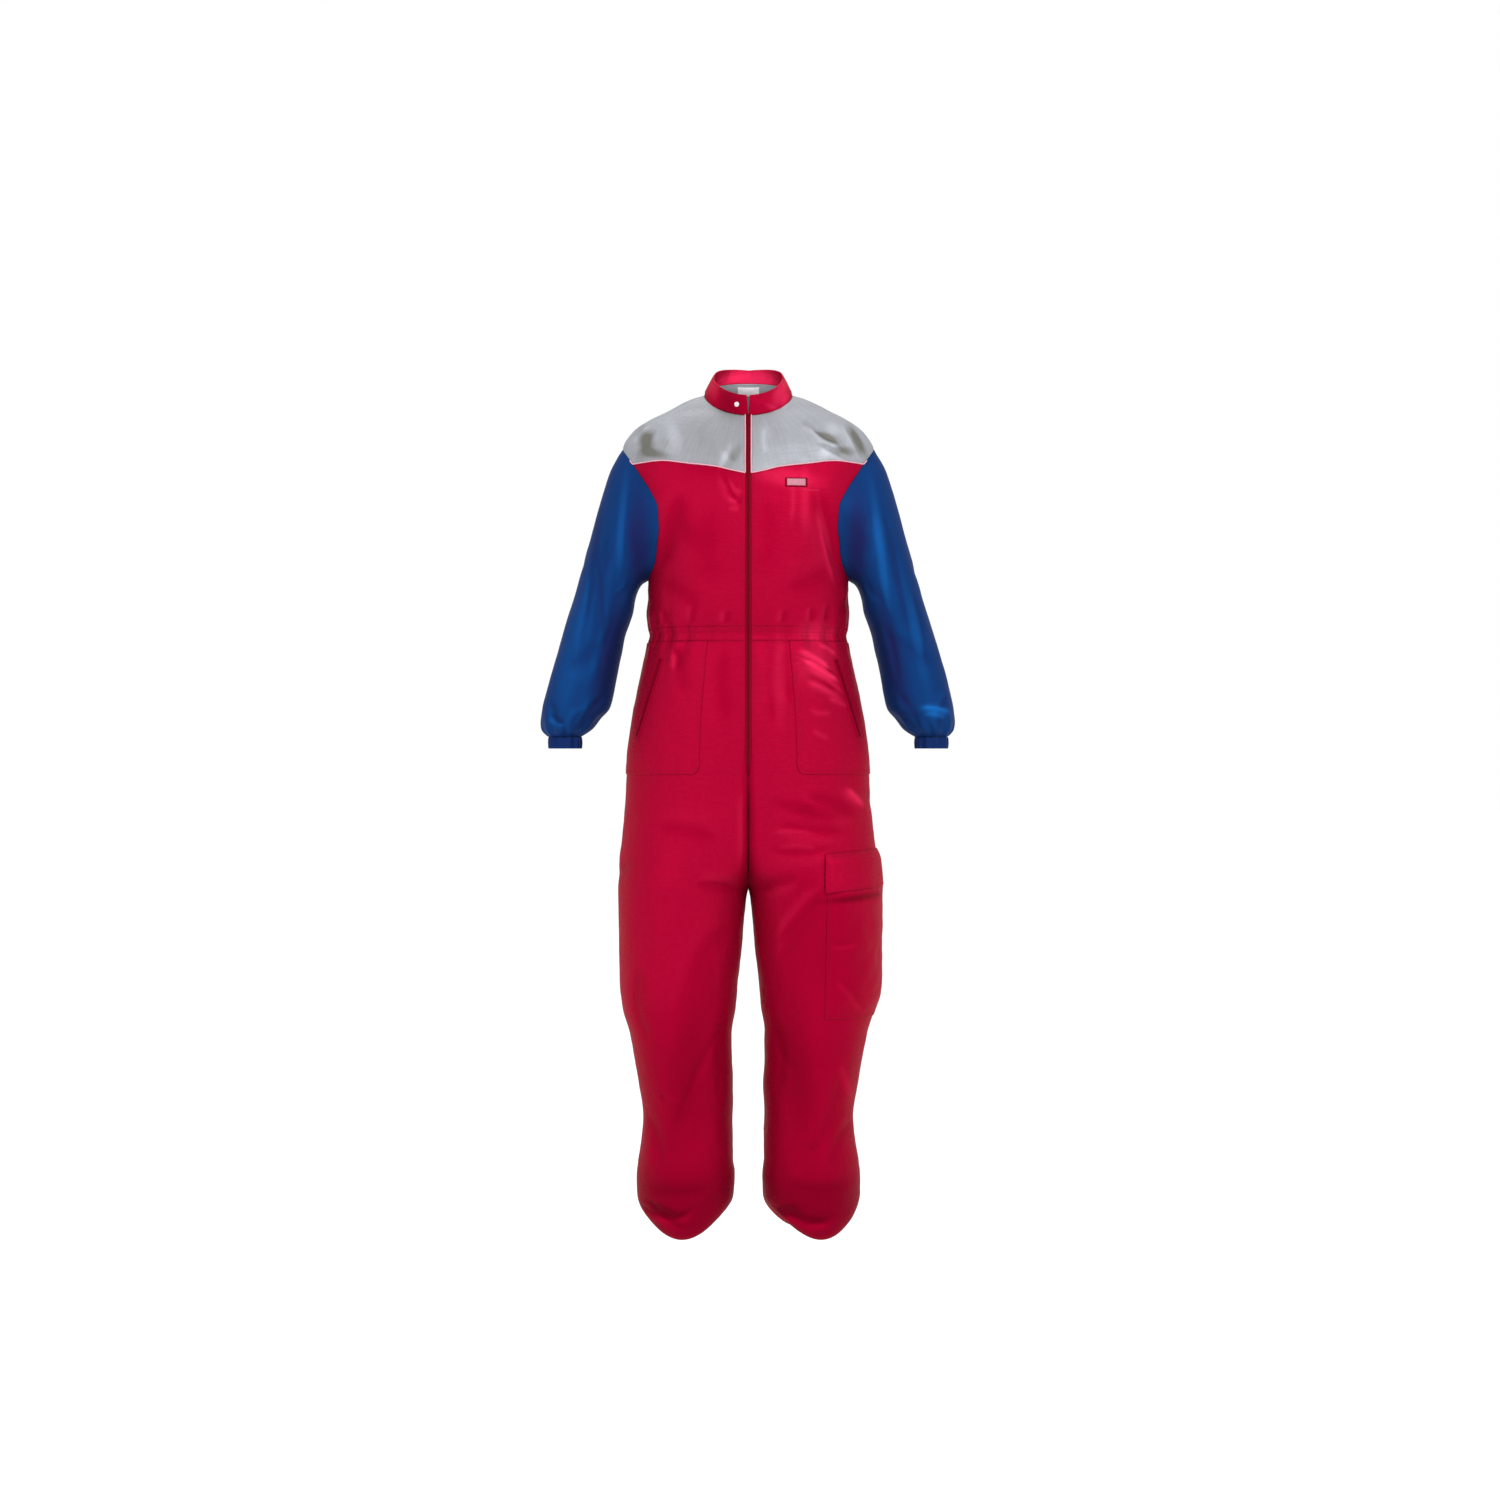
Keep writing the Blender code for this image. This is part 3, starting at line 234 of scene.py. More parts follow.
LEG = Sections(
    ("z", "outer_x", "inner_x", "front", "back"),
    [
        (WAIST_BOTTOM, 0.1755, -0.1755, 0.113, 0.093),
        (-0.471, 0.1823, -0.1820, 0.117, 0.102),
        (-0.514, 0.1920, -0.1900, 0.120, 0.113),
        (-0.578, 0.2054, -0.1980, 0.122, 0.126),
        (ZIP_END, 0.2134, -0.1920, 0.122, 0.134),
        (-0.700, 0.2170, -0.1700, 0.121, 0.137),
        (-0.750, 0.2205, -0.1350, 0.121, 0.137),
        (-0.800, 0.2250, -0.0900, 0.121, 0.135),
        (-0.840, 0.2290, -0.0460, 0.121, 0.131),
        (CROTCH, 0.2310, 0.0000, 0.120, 0.127),
        (-0.898, 0.2310, 0.0042, 0.118, 0.124),
        (-0.940, 0.2310, 0.0080, 0.115, 0.120),
        (-0.983, 0.2300, 0.0115, 0.112, 0.115),
        (-1.047, 0.2290, 0.0196, 0.108, 0.110),
        (-1.090, 0.2235, 0.0230, 0.103, 0.106),
        (-1.133, 0.2107, 0.0290, 0.098, 0.100),
        (-1.175, 0.2026, 0.0285, 0.093, 0.096),
        (-1.218, 0.1955, 0.0267, 0.089, 0.093),
        (-1.282, 0.1870, 0.0290, 0.083, 0.090),
        (-1.325, 0.1905, 0.0275, 0.083, 0.088),
        (LEG_TUBE_END, 0.1965, 0.0275, 0.084, 0.087),
    ],
)
BLOUSE = Sections(
    ("row", "down", "size", "to_hem"),
    [
        (0, 0.00, 1.00, 0.0),
        (1, 0.36, 1.03, 0.0),
        (2, 0.72, 1.02, 0.0),
        (3, 0.94, 0.95, 0.0),
        (4, 1.00, 0.84, 0.0),
        (5, 1.00, 0.66, 0.35),
        (6, 1.00, 0.50, 1.0),
    ],
)

# A crease is a soft trough, or a ridge where its depth is negative, along places seen in one view:
# (x, z) from the front or the back, (y, z) from the wearer's left or right. `lip` is the height of the
# cloth pushed up beside it, as a share of its depth, on the side to the right of its run.
Crease = collections.namedtuple("Crease", "view places width depth lip")
MM = 1000                   # millimetres in a metre


def creases(**views):
    """Creases from rows in millimetres: width, depth and lip, then the places."""
    return [Crease(view, [(a / MM, b / MM) for a, b in places], width / MM, depth / MM, lip)
            for view, rows in views.items() for width, depth, lip, *places in rows]


BODY_CREASES = creases(
    front=[
        (15, 3, 0.4, (112, -172), (135, -235), (160, -330)),
        (17, 2.7, 0.3, (-112, -176), (-133, -240), (-158, -318)),
        (5, -1.6, 0, (117, -196), (130, -262), (155, -352)),
        (5.6, 1.2, 0.4, (-50, -146), (-36, -168), (-30, -186), (-16, -200)),
        (5.2, 1, 0.4, (-30, -182), (-12, -206)),
        (18, 1.3, 0, (-140, -226), (-100, -262), (-50, -282)),
        (16, 1.4, 0.2, (150, -300), (112, -336), (60, -352)),
        (15, 1.4, 0.2, (-160, -334), (-118, -356), (-76, -392)),
        (22, 1, 0, (30, -180), (36, -260), (28, -340)),
        (24, 1.1, 0, (-62, -200), (-70, -290), (-58, -360)),
        (5.5, 1.1, 0.3, (142, -372), (134, -410)),
        (5, 1.4, 0.5, (112, -380), (110, -412)),
        (5, 1.2, 0.4, (64, -386), (60, -412)),
        (5, 1.2, 0.4, (-36, -388), (-38, -412)),
        (5.5, 1, 0.3, (-94, -376), (-100, -412)),
        (6, 1.1, 0.3, (-150, -382), (-146, -412)),
        (5, 4, 0.7, (108, -62), (132, -80), (168, -96)),
        (6, 2.8, 0.5, (170, -54), (184, -84), (204, -122)),
        (5, 2.6, 0.6, (120, -92), (146, -106), (176, -122)),
        (5, -2, 0, (-204, -94), (-190, -74), (-170, -56)),
        (4.5, -1.2, 0, (30, -60), (26, -90), (30, -118)),
        (4.5, -0.8, 0, (72, -150), (78, -196), (74, -246)),
        (3.4, -0.8, 0, (-20, -176), (-12, -188)),
        (3.4, -0.6, 0, (-36, -196), (-18, -202)),
        (3.5, -1, 0, (-36, -212), (-14, -214)),
        (6, 1.2, 0.3, (92, -56), (120, -66)),
        (6, 1.3, 0.3, (150, -90), (176, -112)),
        (9, 2.8, 0.3, (-196, -112), (-180, -84), (-160, -68)),
        (8.5, 1.6, 0.3, (-156, -110), (-142, -84)),
        (5.5, 1.3, 0.4, (-46, -98), (-34, -114), (-20, -132)),
        (12, 0.8, 0, (-90, -62), (-78, -104)),
        (11, 0.8, 0, (52, -58), (48, -104)),
    ],
    back=[
        (11, 2, 0.3, (30, -90), (90, -112), (150, -122)),
        (11, 2, 0.3, (-40, -60), (-92, -92), (-160, -104)),
        (17, 3.3, 0.4, (60, -300), (105, -325), (150, -360)),
        (17, 3.3, 0.4, (-50, -305), (-98, -330), (-150, -352)),
        (15, 2.4, 0.3, (150, -190), (120, -240), (84, -276)),
        (15, 2.4, 0.3, (-152, -184), (-126, -236), (-80, -270)),
        (12, 1.8, 0.4, (-100, -372), (-30, -388), (50, -376)),
        (22, 1.4, 0, (20, -200), (26, -270), (14, -340)),
        (5.5, 1.1, 0.3, (-64, -392), (-62, -412)),
        (5.5, 1.1, 0.3, (88, -382), (92, -412)),
        (5.5, 1, 0.3, (136, -390), (132, -412)),
    ],
    left=[
        (12, 2.2, 0.4, (10, -350), (-20, -372), (-60, -384)),
    ],
    right=[
        (12, 2.2, 0.4, (14, -346), (-16, -374), (-56, -380)),
    ],
)
SLEEVE_CREASES = creases(
    front=[
        (6, 1.1, 0.4, (-262, -300), (-282, -380), (-300, -470)),
        (6, 1.1, 0.4, (284, -340), (304, -410), (318, -500)),
        (6.5, 1.3, 0.4, (236, -400), (256, -460), (268, -520)),
        (6.5, 1.3, 0.4, (-236, -400), (-256, -460), (-264, -520)),
        (5.5, 1.3, 0.4, (-204, -330), (-216, -352), (-236, -366)),
        (5.5, 1.3, 0.4, (204, -330), (218, -354), (238, -372)),
        (4.5, 2.2, 0.6, (-350, -566), (-338, -578), (-322, -584)),
        (12, 2, 0.2, (-244, -240), (-258, -330), (-268, -470)),
        (10, 1.8, 0.2, (-222, -280), (-232, -360), (-246, -452)),
        (13, 1.9, 0.2, (246, -220), (266, -330), (290, -470)),
        (10, 1.8, 0.2, (224, -330), (244, -400), (262, -490)),
        (15, 2.7, 0.3, (330, -480), (292, -462), (245, -430)),
        (15, 2.7, 0.3, (-330, -490), (-292, -470), (-250, -440)),
        (4.2, -3.8, 0, (298, -555.5), (330, -558), (360, -563)),
        (4, -2.4, 0, (304, -568), (330, -570), (352, -574)),
        (7.5, 2.4, 0.3, (262, -528), (286, -560), (304, -590)),
        (7, 1.8, 0.2, (352, -530), (340, -560), (334, -596)),
        (7.5, 2.5, 0.3, (-252, -532), (-276, -560), (-300, -596)),
        (6, 2.2, 0.3, (-290, -560), (-306, -580), (-312, -602)),
        (6.5, 1.8, 0.2, (-350, -540), (-340, -568), (-336, -600)),
        (12, 2, 0.3, (-186, -302), (-206, -256), (-214, -204)),
        (12, 2, 0.3, (186, -304), (204, -254), (212, -206)),
    ],
    back=[
        (6.5, 1.8, 0.4, (250, -420), (276, -444), (310, -460)),
        (6.5, 1.8, 0.4, (-250, -424), (-278, -446), (-312, -456)),
        (15, 3, 0.4, (325, -440), (284, -424), (240, -400)),
        (15, 3, 0.4, (-325, -436), (-284, -418), (-240, -404)),
        (11, 2.2, 0.4, (322, -376), (290, -396), (250, -440)),
        (11, 2.2, 0.4, (-318, -368), (-286, -392), (-252, -446)),
        (12, 2.3, 0.3, (350, -530), (304, -508), (262, -500)),
        (12, 2.3, 0.3, (-346, -540), (-300, -522), (-262, -520)),
        (14, 2.2, 0.3, (196, -300), (226, -240), (236, -170)),
        (14, 2.2, 0.3, (-196, -296), (-228, -236), (-240, -176)),
        (6.5, 2, 0.3, (342, -560), (330, -598)),
        (6.5, 2, 0.3, (290, -564), (306, -600)),
        (6.5, 2, 0.3, (-344, -556), (-334, -598)),
        (6.5, 2, 0.3, (-288, -560), (-304, -600)),
    ],
    left=[
        (12, 2, 0.3, (-40, -300), (10, -322), (44, -330)),
    ],
    right=[
        (12, 2, 0.3, (-36, -286), (12, -312), (46, -316)),
    ],
)
LEG_CREASES = creases(
    front=[
        (7, 1, 0.3, (-40, -1104), (-76, -1165), (-106, -1235), (-142, -1310)),
        (7.5, 0.7, 0.3, (38, -1138), (64, -1170), (92, -1204)),
        (5, 0.8, 0.4, (138, -960), (156, -968), (190, -962)),
        (6, 1, 0.4, (150, -1020), (178, -1050), (204, -1090)),
        (4, -0.8, 0, (104, -560), (124, -568), (150, -566)),
        (3.6, -0.8, 0, (110, -594), (126, -606), (144, -612)),
        (6, 3.4, 0.3, (-196, -1430), (-161, -1444), (-127, -1446), (-90, -1428)),
        (6, 3.4, 0.3, (40, -1428), (76, -1446), (110, -1458), (150, -1458)),
        (3.4, -1.9, 0, (82, -460), (110, -472), (148, -494)),
        (3.4, -2.1, 0, (94, -472), (130, -492), (166, -518)),
        (3.4, -1.6, 0, (98, -486), (138, -508), (172, -536)),
        (3.4, -2.2, 0, (120, -447), (140, -454), (156, -466)),
        (3.6, -1.2, 0, (136, -540), (158, -548), (176, -556)),
        (4.4, -1.4, 0, (170, -696), (186, -712), (202, -732)),
        (4, -0.7, 0, (36, -776), (70, -772), (124, -778)),
        (4, -0.6, 0, (44, -800), (86, -798), (130, -806)),
        (5, 1.8, 0.6, (-130, -452), (-122, -470), (-126, -496)),
        (5, -3.4, 0, (84, -456), (112, -468), (148, -492)),
        (5.5, -2.3, 0, (90, -470), (124, -490), (164, -514)),
        (4, 3, 0, (86, -464), (120, -480), (158, -504)),
        (6, -1.8, 0, (100, -512), (134, -526), (170, -548)),
        (6, 1.7, 0, (96, -500), (132, -514), (164, -532)),
        (10, 1.2, 0.2, (70, -444), (64, -500), (74, -560)),
        (14, 1.3, 0.2, (40, -444), (48, -510), (42, -600)),
        (15, 1.2, 0, (-40, -444), (-44, -520), (-36, -600)),
        (12, 1, 0, (-110, -444), (-118, -486), (-112, -540)),
        (6.5, -1.8, 0, (166, -694), (184, -712), (208, -734)),
        (11, 2, 0.4, (100, -708), (146, -726), (194, -748)),
        (10, 1.4, 0.3, (44, -760), (104, -772), (176, -774)),
        (10, 1.3, 0.3, (30, -804), (90, -808), (150, -800)),
        (13, 1.3, 0.2, (-46, -790), (-100, -772), (-170, -764)),
        (7.5, 3, 0, (0, -680), (0, -780), (0, -884)),
        (10, 2.9, 0.5, (140, -870), (96, -918), (48, -972)),
        (10, 1.4, 0.3, (128, -912), (90, -952), (50, -1004)),
        (8.5, 1.8, 0.2, (14, -880), (48, -862), (90, -852)),
        (8.5, 1.7, 0.2, (-14, -880), (-50, -868), (-94, -862)),
        (18, 1.8, 0, (-28, -930), (-70, -980), (-100, -1060)),
        (14, 1.9, 0.2, (-190, -1000), (-196, -1070), (-170, -1150)),
        (14, 2, 0.3, (-66, -1130), (-98, -1204), (-140, -1320)),
        (12, 1.2, 0.3, (-62, -1220), (-84, -1280), (-104, -1340)),
        (16, 2, 0, (-40, -1080), (-52, -1160), (-46, -1260)),
        (16, 2.2, 0, (40, -1090), (56, -1170), (52, -1250)),
        (10, -1.2, 0, (158, -1178), (170, -1214), (184, -1252)),
        (14, 1.8, 0.3, (175, -1170), (150, -1250), (118, -1330)),
        (13, 1.2, 0.3, (176, -1252), (142, -1298), (96, -1346)),
        (11, 2, 0.4, (192, -1280), (160, -1310), (140, -1372)),
        (12, 2, 0.3, (-184, -1262), (-160, -1310), (-150, -1366)),
        (12, 2.3, 0.3, (-190, -1396), (-130, -1404), (-60, -1392)),
        (12, 2.2, 0.3, (188, -1388), (120, -1398), (50, -1384)),
        (6, 2.5, 0.4, (-190, -1418), (-168, -1428), (-140, -1452), (-104, -1470)),
        (7, 2.4, 0.3, (48, -1424), (90, -1444), (130, -1452), (160, -1440)),
    ],
    back=[
        (6, 1.2, 0.4, (-150, -460), (-140, -490), (-146, -530)),
        (6, 1.2, 0.4, (130, -456), (124, -486), (132, -520)),
        (6.5, 1.8, 0.4, (30, -900), (70, -922), (124, -926)),
        (6.5, 1.8, 0.4, (-30, -904), (-74, -922), (-120, -920)),
        (6.5, 1.8, 0.4, (80, -1200), (110, -1216), (150, -1248)),
        (6.5, 1.8, 0.4, (-76, -1196), (-112, -1216), (-146, -1244)),
        (16, 3.9, 0.4, (70, -850), (120, -832), (184, -804)),
        (16, 3.7, 0.4, (-70, -850), (-122, -834), (-182, -808)),
        (12, 2.8, 0.4, (12, -880), (60, -892), (130, -884)),
        (12, 2.6, 0.4, (-12, -880), (-64, -894), (-124, -880)),
        (8, 2.4, 0, (0, -470), (0, -680), (0, -884)),
        (16, 4.2, 0.4, (60, -1150), (110, -1184), (172, -1230)),
        (16, 4, 0.4, (-60, -1160), (-108, -1186), (-165, -1220)),
        (12, 2.5, 0.4, (190, -1110), (132, -1140), (64, -1130)),
        (12, 2.5, 0.4, (-188, -1100), (-128, -1132), (-60, -1118)),
        (13, 2.8, 0.3, (56, -1226), (104, -1262), (160, -1330)),
        (13, 2.8, 0.3, (-58, -1236), (-108, -1270), (-150, -1342)),
        (16, 1.6, 0.2, (60, -480), (82, -540), (70, -620)),
        (16, 1.6, 0.2, (-66, -476), (-90, -550), (-84, -630)),
        (18, 2, 0, (100, -940), (122, -1010), (104, -1090)),
        (18, 2, 0, (-96, -930), (-118, -1000), (-110, -1080)),
        (12, 2.4, 0.3, (184, -1394), (118, -1402), (52, -1390)),
        (12, 2.4, 0.3, (-186, -1388), (-116, -1402), (-54, -1396)),
    ],
    left=[
        (6.5, 1.6, 0.4, (-40, -1200), (0, -1220), (44, -1220)),
        (13, 2.6, 0.4, (-80, -1150), (-20, -1180), (50, -1176)),
        (13, 2.6, 0.4, (60, -1250), (0, -1290), (-56, -1350)),
        (13, 1.8, 0.3, (-60, -700), (10, -726), (80, -716)),
    ],
    right=[
        (6.5, 1.6, 0.4, (-44, -1206), (0, -1224), (44, -1220)),
        (13, 2.6, 0.4, (-70, -1140), (-10, -1170), (56, -1164)),
        (13, 2.6, 0.4, (50, -1260), (0, -1300), (-50, -1346)),
        (14, 2, 0.3, (-80, -820), (-10, -850), (70, -836)),
        (14, 1.8, 0.3, (-56, -980), (4, -1010), (70, -1000)),
    ],
)

# Painted shade and shadow (below 0) and painted highlights (above 0) in the cloth's colour: each a soft spot
# seen in one view.
Spot = collections.namedtuple("Spot", "view place size lean amount")


def spots(**views):
    """Spots from rows in millimetres and degrees: place, size, lean and amount."""
    return [Spot(view, (a / MM, b / MM), (across / MM, along / MM), lean, amount)
            for view, rows in views.items() for a, b, across, along, lean, amount in rows]


LIGHT_AND_SHADE_SPOTS = spots(
    front=[
        (-179, -90, 13, 24, 16, -1.9),
        (-162, -112, 22, 8, -14, -1.4),
        (-188, -112, 12, 12, 0, -0.7),
        (182, -889, 50, 6, 6, -1.3),
        (-24, -118, 8, 24, -30, -0.7),
        (140, -84, 19, 8, -24, -2),
        (170, -106, 17, 8, -10, -1.4),
        (194, -86, 6, 28, 27, -2),
        (180, -84, 4, 22, 27, 0.8),
        (-60, -80, 70, 60, 0, -0.35),
        (-130, -80, 12, 28, 20, 0.5),
        (-40, -118, 6, 22, -24, 0.7),
        (150, -66, 14, 12, -30, 0.6),
        (134, -110, 10, 14, -30, 0.6),
        (-30, -16, 24, 30, 0, -0.8),
        (58, 4, 12, 34, -16, 1.2),
        (-62, 10, 10, 30, 16, 0.5),
        (0, -1260, 600, 140, 0, -0.4),
        (0, -1440, 600, 70, 0, -1.05),
        (160, -1000, 40, 100, 0, -0.2),
        (178, -850, 44, 26, 0, 0.16),
        (100, -960, 40, 110, 0, -0.22),
        (-246, -475, 17, 110, -14, -1.1),
        (252, -470, 16, 110, 14, -1.1),
        (-325, -618, 60, 12, 0, -0.7),
        (325, -618, 60, 12, 0, -0.7),
        (98, -190, 8, 62, 0, 0.3),
        (138, -256, 6, 66, 15, 0.5),
        (-26, -176, 4, 18, 28, 0.5),
        (118, -425, 30, 18, 0, 0.6),
        (120, -480, 34, 40, -12, 0.5),
        (55, -510, 12, 70, 0, 0.35),
        (0, -740, 7, 110, 0, -1),
        (0, -850, 14, 40, 0, -0.8),
        (182, -714, 22, 9, -34, 0.35),
        (106, -736, 46, 10, -14, -0.5),
        (-105, -1180, 30, 140, -8, -0.5),
        (86, -1180, 26, 140, 6, -0.5),
        (172, -1214, 10, 40, 14, 0.35),
        (-90, -1210, 8, 80, -26, 0.25),
        (-150, -1438, 24, 10, -18, -0.9),
        (64, -1440, 24, 10, 24, -0.8),
        (-222, -240, 7, 90, -4, 0.55),
        (-258, -360, 4, 90, 4, -0.6),
        (-272, -300, 5, 100, -6, -0.45),
        (-308, -450, 20, 130, -13, 0.35),
        (233, -290, 8, 110, 7, 0.75),
        (262, -330, 5, 100, 12, -0.45),
        (286, -400, 12, 130, 14, 0.35),
        (330, -562, 26, 6, -8, 0.9),
        (-192, -266, 20, 86, 0, -1.3),
        (190, -270, 18, 86, 0, -1.3),
        (66, -156, 56, 16, -8, 0.6),
        (66, -14, 6, 14, -20, 0.9),
        (42, -28, 12, 5, -24, 0.6),
    ],
    back=[
        (0, 34, 70, 22, 0, 1.5),
        (0, -1420, 600, 120, 0, -0.6),
    ],
)
SPOT_EDGE = 1.5             # how sharp the edge of a spot is: 1 is a plain bell
CREASE_STEP = 0.001         # between the places at which a crease is worked out
CREASE_TAPER = 0.28         # share of a crease's length over which each end fades
CREASE_REACH = 3.2          # how many widths from its line a crease can be felt
LIP_PLACE, LIP_WIDTH = 1.9, 1.1           # of the cloth pushed up beside a crease, in widths
SHARP_WIDTH, SHARP_DEPTH = 0.0045, 0.0026     # of a crease that gets its full painted highlight and painted shade

# The cloth is never quite smooth: how large its lumps are, how high, and how they are stretched in z.
Lumps = collections.namedtuple("Lumps", "size height stretch seed")
LUMPS = [Lumps(0.070, 0.0013, 1.6, 3), Lumps(0.026, 0.0007, 1.5, 11), Lumps(0.011, 0.00024, 1.6, 23)]
FIRM_REACH = 0.014          # how far from an armhole or the neck the cloth is kept smooth
SEAM_PUCKER, SEAM_PUCKER_SIZE, SEAM_PUCKER_REACH = 0.00055, 0.0105, 0.0090
SEAM_WIDTH = 0.0014         # how far from a seam the cloth starts to turn in
SEAM_SHADE_REACH = 0.0030         # how far from a seam the cloth gets painted shade in its colour and more roughness
HOLLOW_SHADE, HOLLOW_DEPTH = 0.35, 0.0045     # how much painted shade a hollow gets in the cloth's colour, in full at that depth
SEAM_POINTS = (0.0009, 0.0019, 0.0034)    # where rows of points follow a seam closely


def size_setting(name, description, default):
    return bpy.props.FloatProperty(name=name, description=description, default=default, unit="LENGTH")


def colour_setting(name, description, default):
    return bpy.props.FloatVectorProperty(name=name, description=description, default=default, subtype="COLOR")


class ClothSettings(bpy.types.PropertyGroup):
    """Sizes of the cloth."""

    thickness: size_setting("Thickness", "Thickness of the nylon", 0.0009)
    mesh_step: size_setting("Mesh step", "Distance between the cloth's points", 0.0040)
    seam_depth: size_setting("Seam depth", "How far the cloth turns in at a seam", 0.0006)
    crease_strength: bpy.props.FloatProperty(
        name="Creases", description="Depth of the creases, as a share", default=1.0, min=0, max=1.3)
    weave_pitch: size_setting("Weave", "Distance between two threads", 0.0006)


class ColourSettings(bpy.types.PropertyGroup):
    """Colours of the cloth and trimmings, with each cloth's colours for painted shade and painted highlight.
    """

    red: colour_setting("Red", "Body and legs", (0.320, 0.0008, 0.0215))
    # The shaded colour of each cloth is mixed in as painted shade, and the highlight colour as painted
    # highlight.
    shaded_red: colour_setting("Deep red", "Hollows of the red cloth", (0.130, 0.0002, 0.0090))
    highlight_red: colour_setting("Pale red", "Crests of the red cloth", (0.640, 0.0180, 0.0800))
    silver: colour_setting("Silver", "Yoke", (0.310, 0.322, 0.358))
    shaded_silver: colour_setting("Deep silver", "Hollows of the silver cloth", (0.120, 0.118, 0.105))
    highlight_silver: colour_setting("Pale silver", "Crests of the silver cloth", (0.470, 0.490, 0.530))
    blue: colour_setting("Blue", "Sleeves and cuffs", (0.0032, 0.0330, 0.1350))
    shaded_blue: colour_setting("Deep blue", "Hollows of the blue cloth", (0.0100, 0.0100, 0.0620))
    highlight_blue: colour_setting("Pale blue", "Crests of the blue cloth", (0.0070, 0.0950, 0.3300))
    zip_tape: colour_setting("Zip tape", "Tapes of the zips", (0.185, 0.0004, 0.0110))
    zip_teeth: colour_setting("Zip teeth", "Teeth of the zips", (0.150, 0.0005, 0.0085))
    red_thread: colour_setting("Red thread", "Sewing on red", (0.260, 0.0010, 0.0180))
    blue_thread: colour_setting("Blue thread", "Sewing on blue", (0.0030, 0.0280, 0.1200))
    pale_thread: colour_setting("Pale thread", "Sewing below the chest label", (0.620, 0.040, 0.110))
    piping: colour_setting("Piping", "Trim in the yoke seam", (0.700, 0.350, 0.420))
    label: colour_setting("Label", "Plain woven label", (0.880, 0.860, 0.880))
    field: colour_setting("Label field", "Middle of the chest label", (0.480, 0.200, 0.250))
    pearl: colour_setting("Pearl", "Cap of the snap", (0.680, 0.560, 0.590))


class SewingSettings(bpy.types.PropertyGroup):
    """Sizes of the sewing and the zips."""

    stitch: size_setting("Stitch", "Length of a stitch", 0.0026)
    stitch_gap: size_setting("Gap", "Between two stitches", 0.0011)
    thread_radius: size_setting("Thread", "Radius of the thread", 0.00028)
    tooth_pitch: size_setting("Tooth pitch", "Between two teeth of a zip", 0.0022)
    piping_radius: size_setting("Piping", "Radius of the yoke's piping", 0.0011)


def settings():
    scene = bpy.context.scene
    return scene.suit_cloth, scene.suit_colours, scene.suit_sewing


def unit(vectors):
    length = np.linalg.norm(vectors, axis=-1, keepdims=True)
    return vectors / np.maximum(length, 1e-12)


def mixed(a, b, t):
    return a + (b - a) * t


def eased(t):
    t = np.clip(t, 0.0, 1.0)
    return t * t * (3 - 2 * t)


def mirrored(points):
    return points * np.array([-1.0, 1.0, 1.0])


def run_of(line):
    """How far along the line each of its points is."""
    return np.concatenate([[0], np.cumsum(np.linalg.norm(np.diff(line, axis=0), axis=1))])


def read_along(at, run, values):
    """The rows of values at places along their run."""
    return np.stack([np.interp(at, run, column) for column in values.T], -1)


# The form, left half: points of the outside with no creases, and the way out at each.

def body(turn, z):
    a = np.radians(turn)
    reach = np.where(np.cos(a) >= 0, BODY.read("front", z), BODY.read("back", z))
    points = np.stack([BODY.read("half_width", z) * np.sin(a), -reach * np.cos(a), z + 0 * a], -1)
    return points, np.stack([np.sin(a), -np.cos(a), 0 * a], -1)


def body_turn(x, z, at_back=False):
    turn = np.degrees(np.arcsin(np.clip(x / BODY.read("half_width", z), -1.0, 1.0)))
    return 180 - turn if at_back else turn


def leg(turn, z):
    a = np.radians(turn)
    outer, inner = LEG.read("outer_x", z), LEG.read("inner_x", z)
    reach = np.where(np.cos(a) >= 0, LEG.read("front", z), LEG.read("back", z))
    x = (outer + inner) / 2 + (outer - inner) / 2 * np.sin(a)
    points = np.stack([x, -reach * np.cos(a), z + 0 * a], -1)
    # Where the legs meet, the way out is the same on both.
    apart = np.where(z > CROTCH, eased(x / 0.030), 1.0)
    return points, unit(np.stack([np.sin(a) * apart, -np.cos(a), 0 * a], -1))


def leg_turn(x, z, at_back=False):
    outer, inner = LEG.read("outer_x", z), LEG.read("inner_x", z)
    sine = (x - (outer + inner) / 2) / ((outer - inner) / 2)
    turn = np.degrees(np.arcsin(np.clip(sine, -1.0, 1.0)))
    return 180 - turn if at_back else turn


def armhole(step, side):
    return ARMHOLE.read(side + "_turn", step), ARMHOLE.read(side + "_z", step)


def zip_opening(z):
    closing = np.clip((z - ZIP_TIP) / (ZIP_END - ZIP_TIP), 0.0, 1.0)
    return np.where(z < ZIP_TIP - 1e-6, 0.0, mixed(ZIP_TIP_HALF_WIDTH, ZIP_HALF_WIDTH, closing))


def wave_of_height(heights, a):
    front, side, back = heights
    middle = (front + back) / 2
    return (middle + side) / 2 + (front - back) / 2 * np.cos(a) + (middle - side) / 2 * np.cos(2 * a)


def neck_seam(u, side):
    """(turn, z) of the neck seam, from the centre line at 0 to the shoulder seam at 1."""
    start = math.degrees(math.asin(ZIP_HALF_WIDTH / NECK_HALF_WIDTH)) if side == "front" else 180.0
    angle = np.radians(mixed(start, 90.0, u))
    z = wave_of_height(NECK_SEAM, angle)
    return body_turn(NECK_HALF_WIDTH * np.sin(angle), z, side == "back"), z


def yoke_seam(u, side):
    """(turn, z) of the yoke seam, from the centre line at 0 to the armhole at 1."""
    turn, z = armhole(ARMHOLE_STEPS - YOKE_STEPS, side)
    end = BODY.read("half_width", z) * math.sin(math.radians(turn))
    start = ZIP_HALF_WIDTH if side == "front" else 0.0
    z = YOKE_SEAM.read(side + "_z", u)
    return body_turn(mixed(start, end, u), z, side == "back"), z


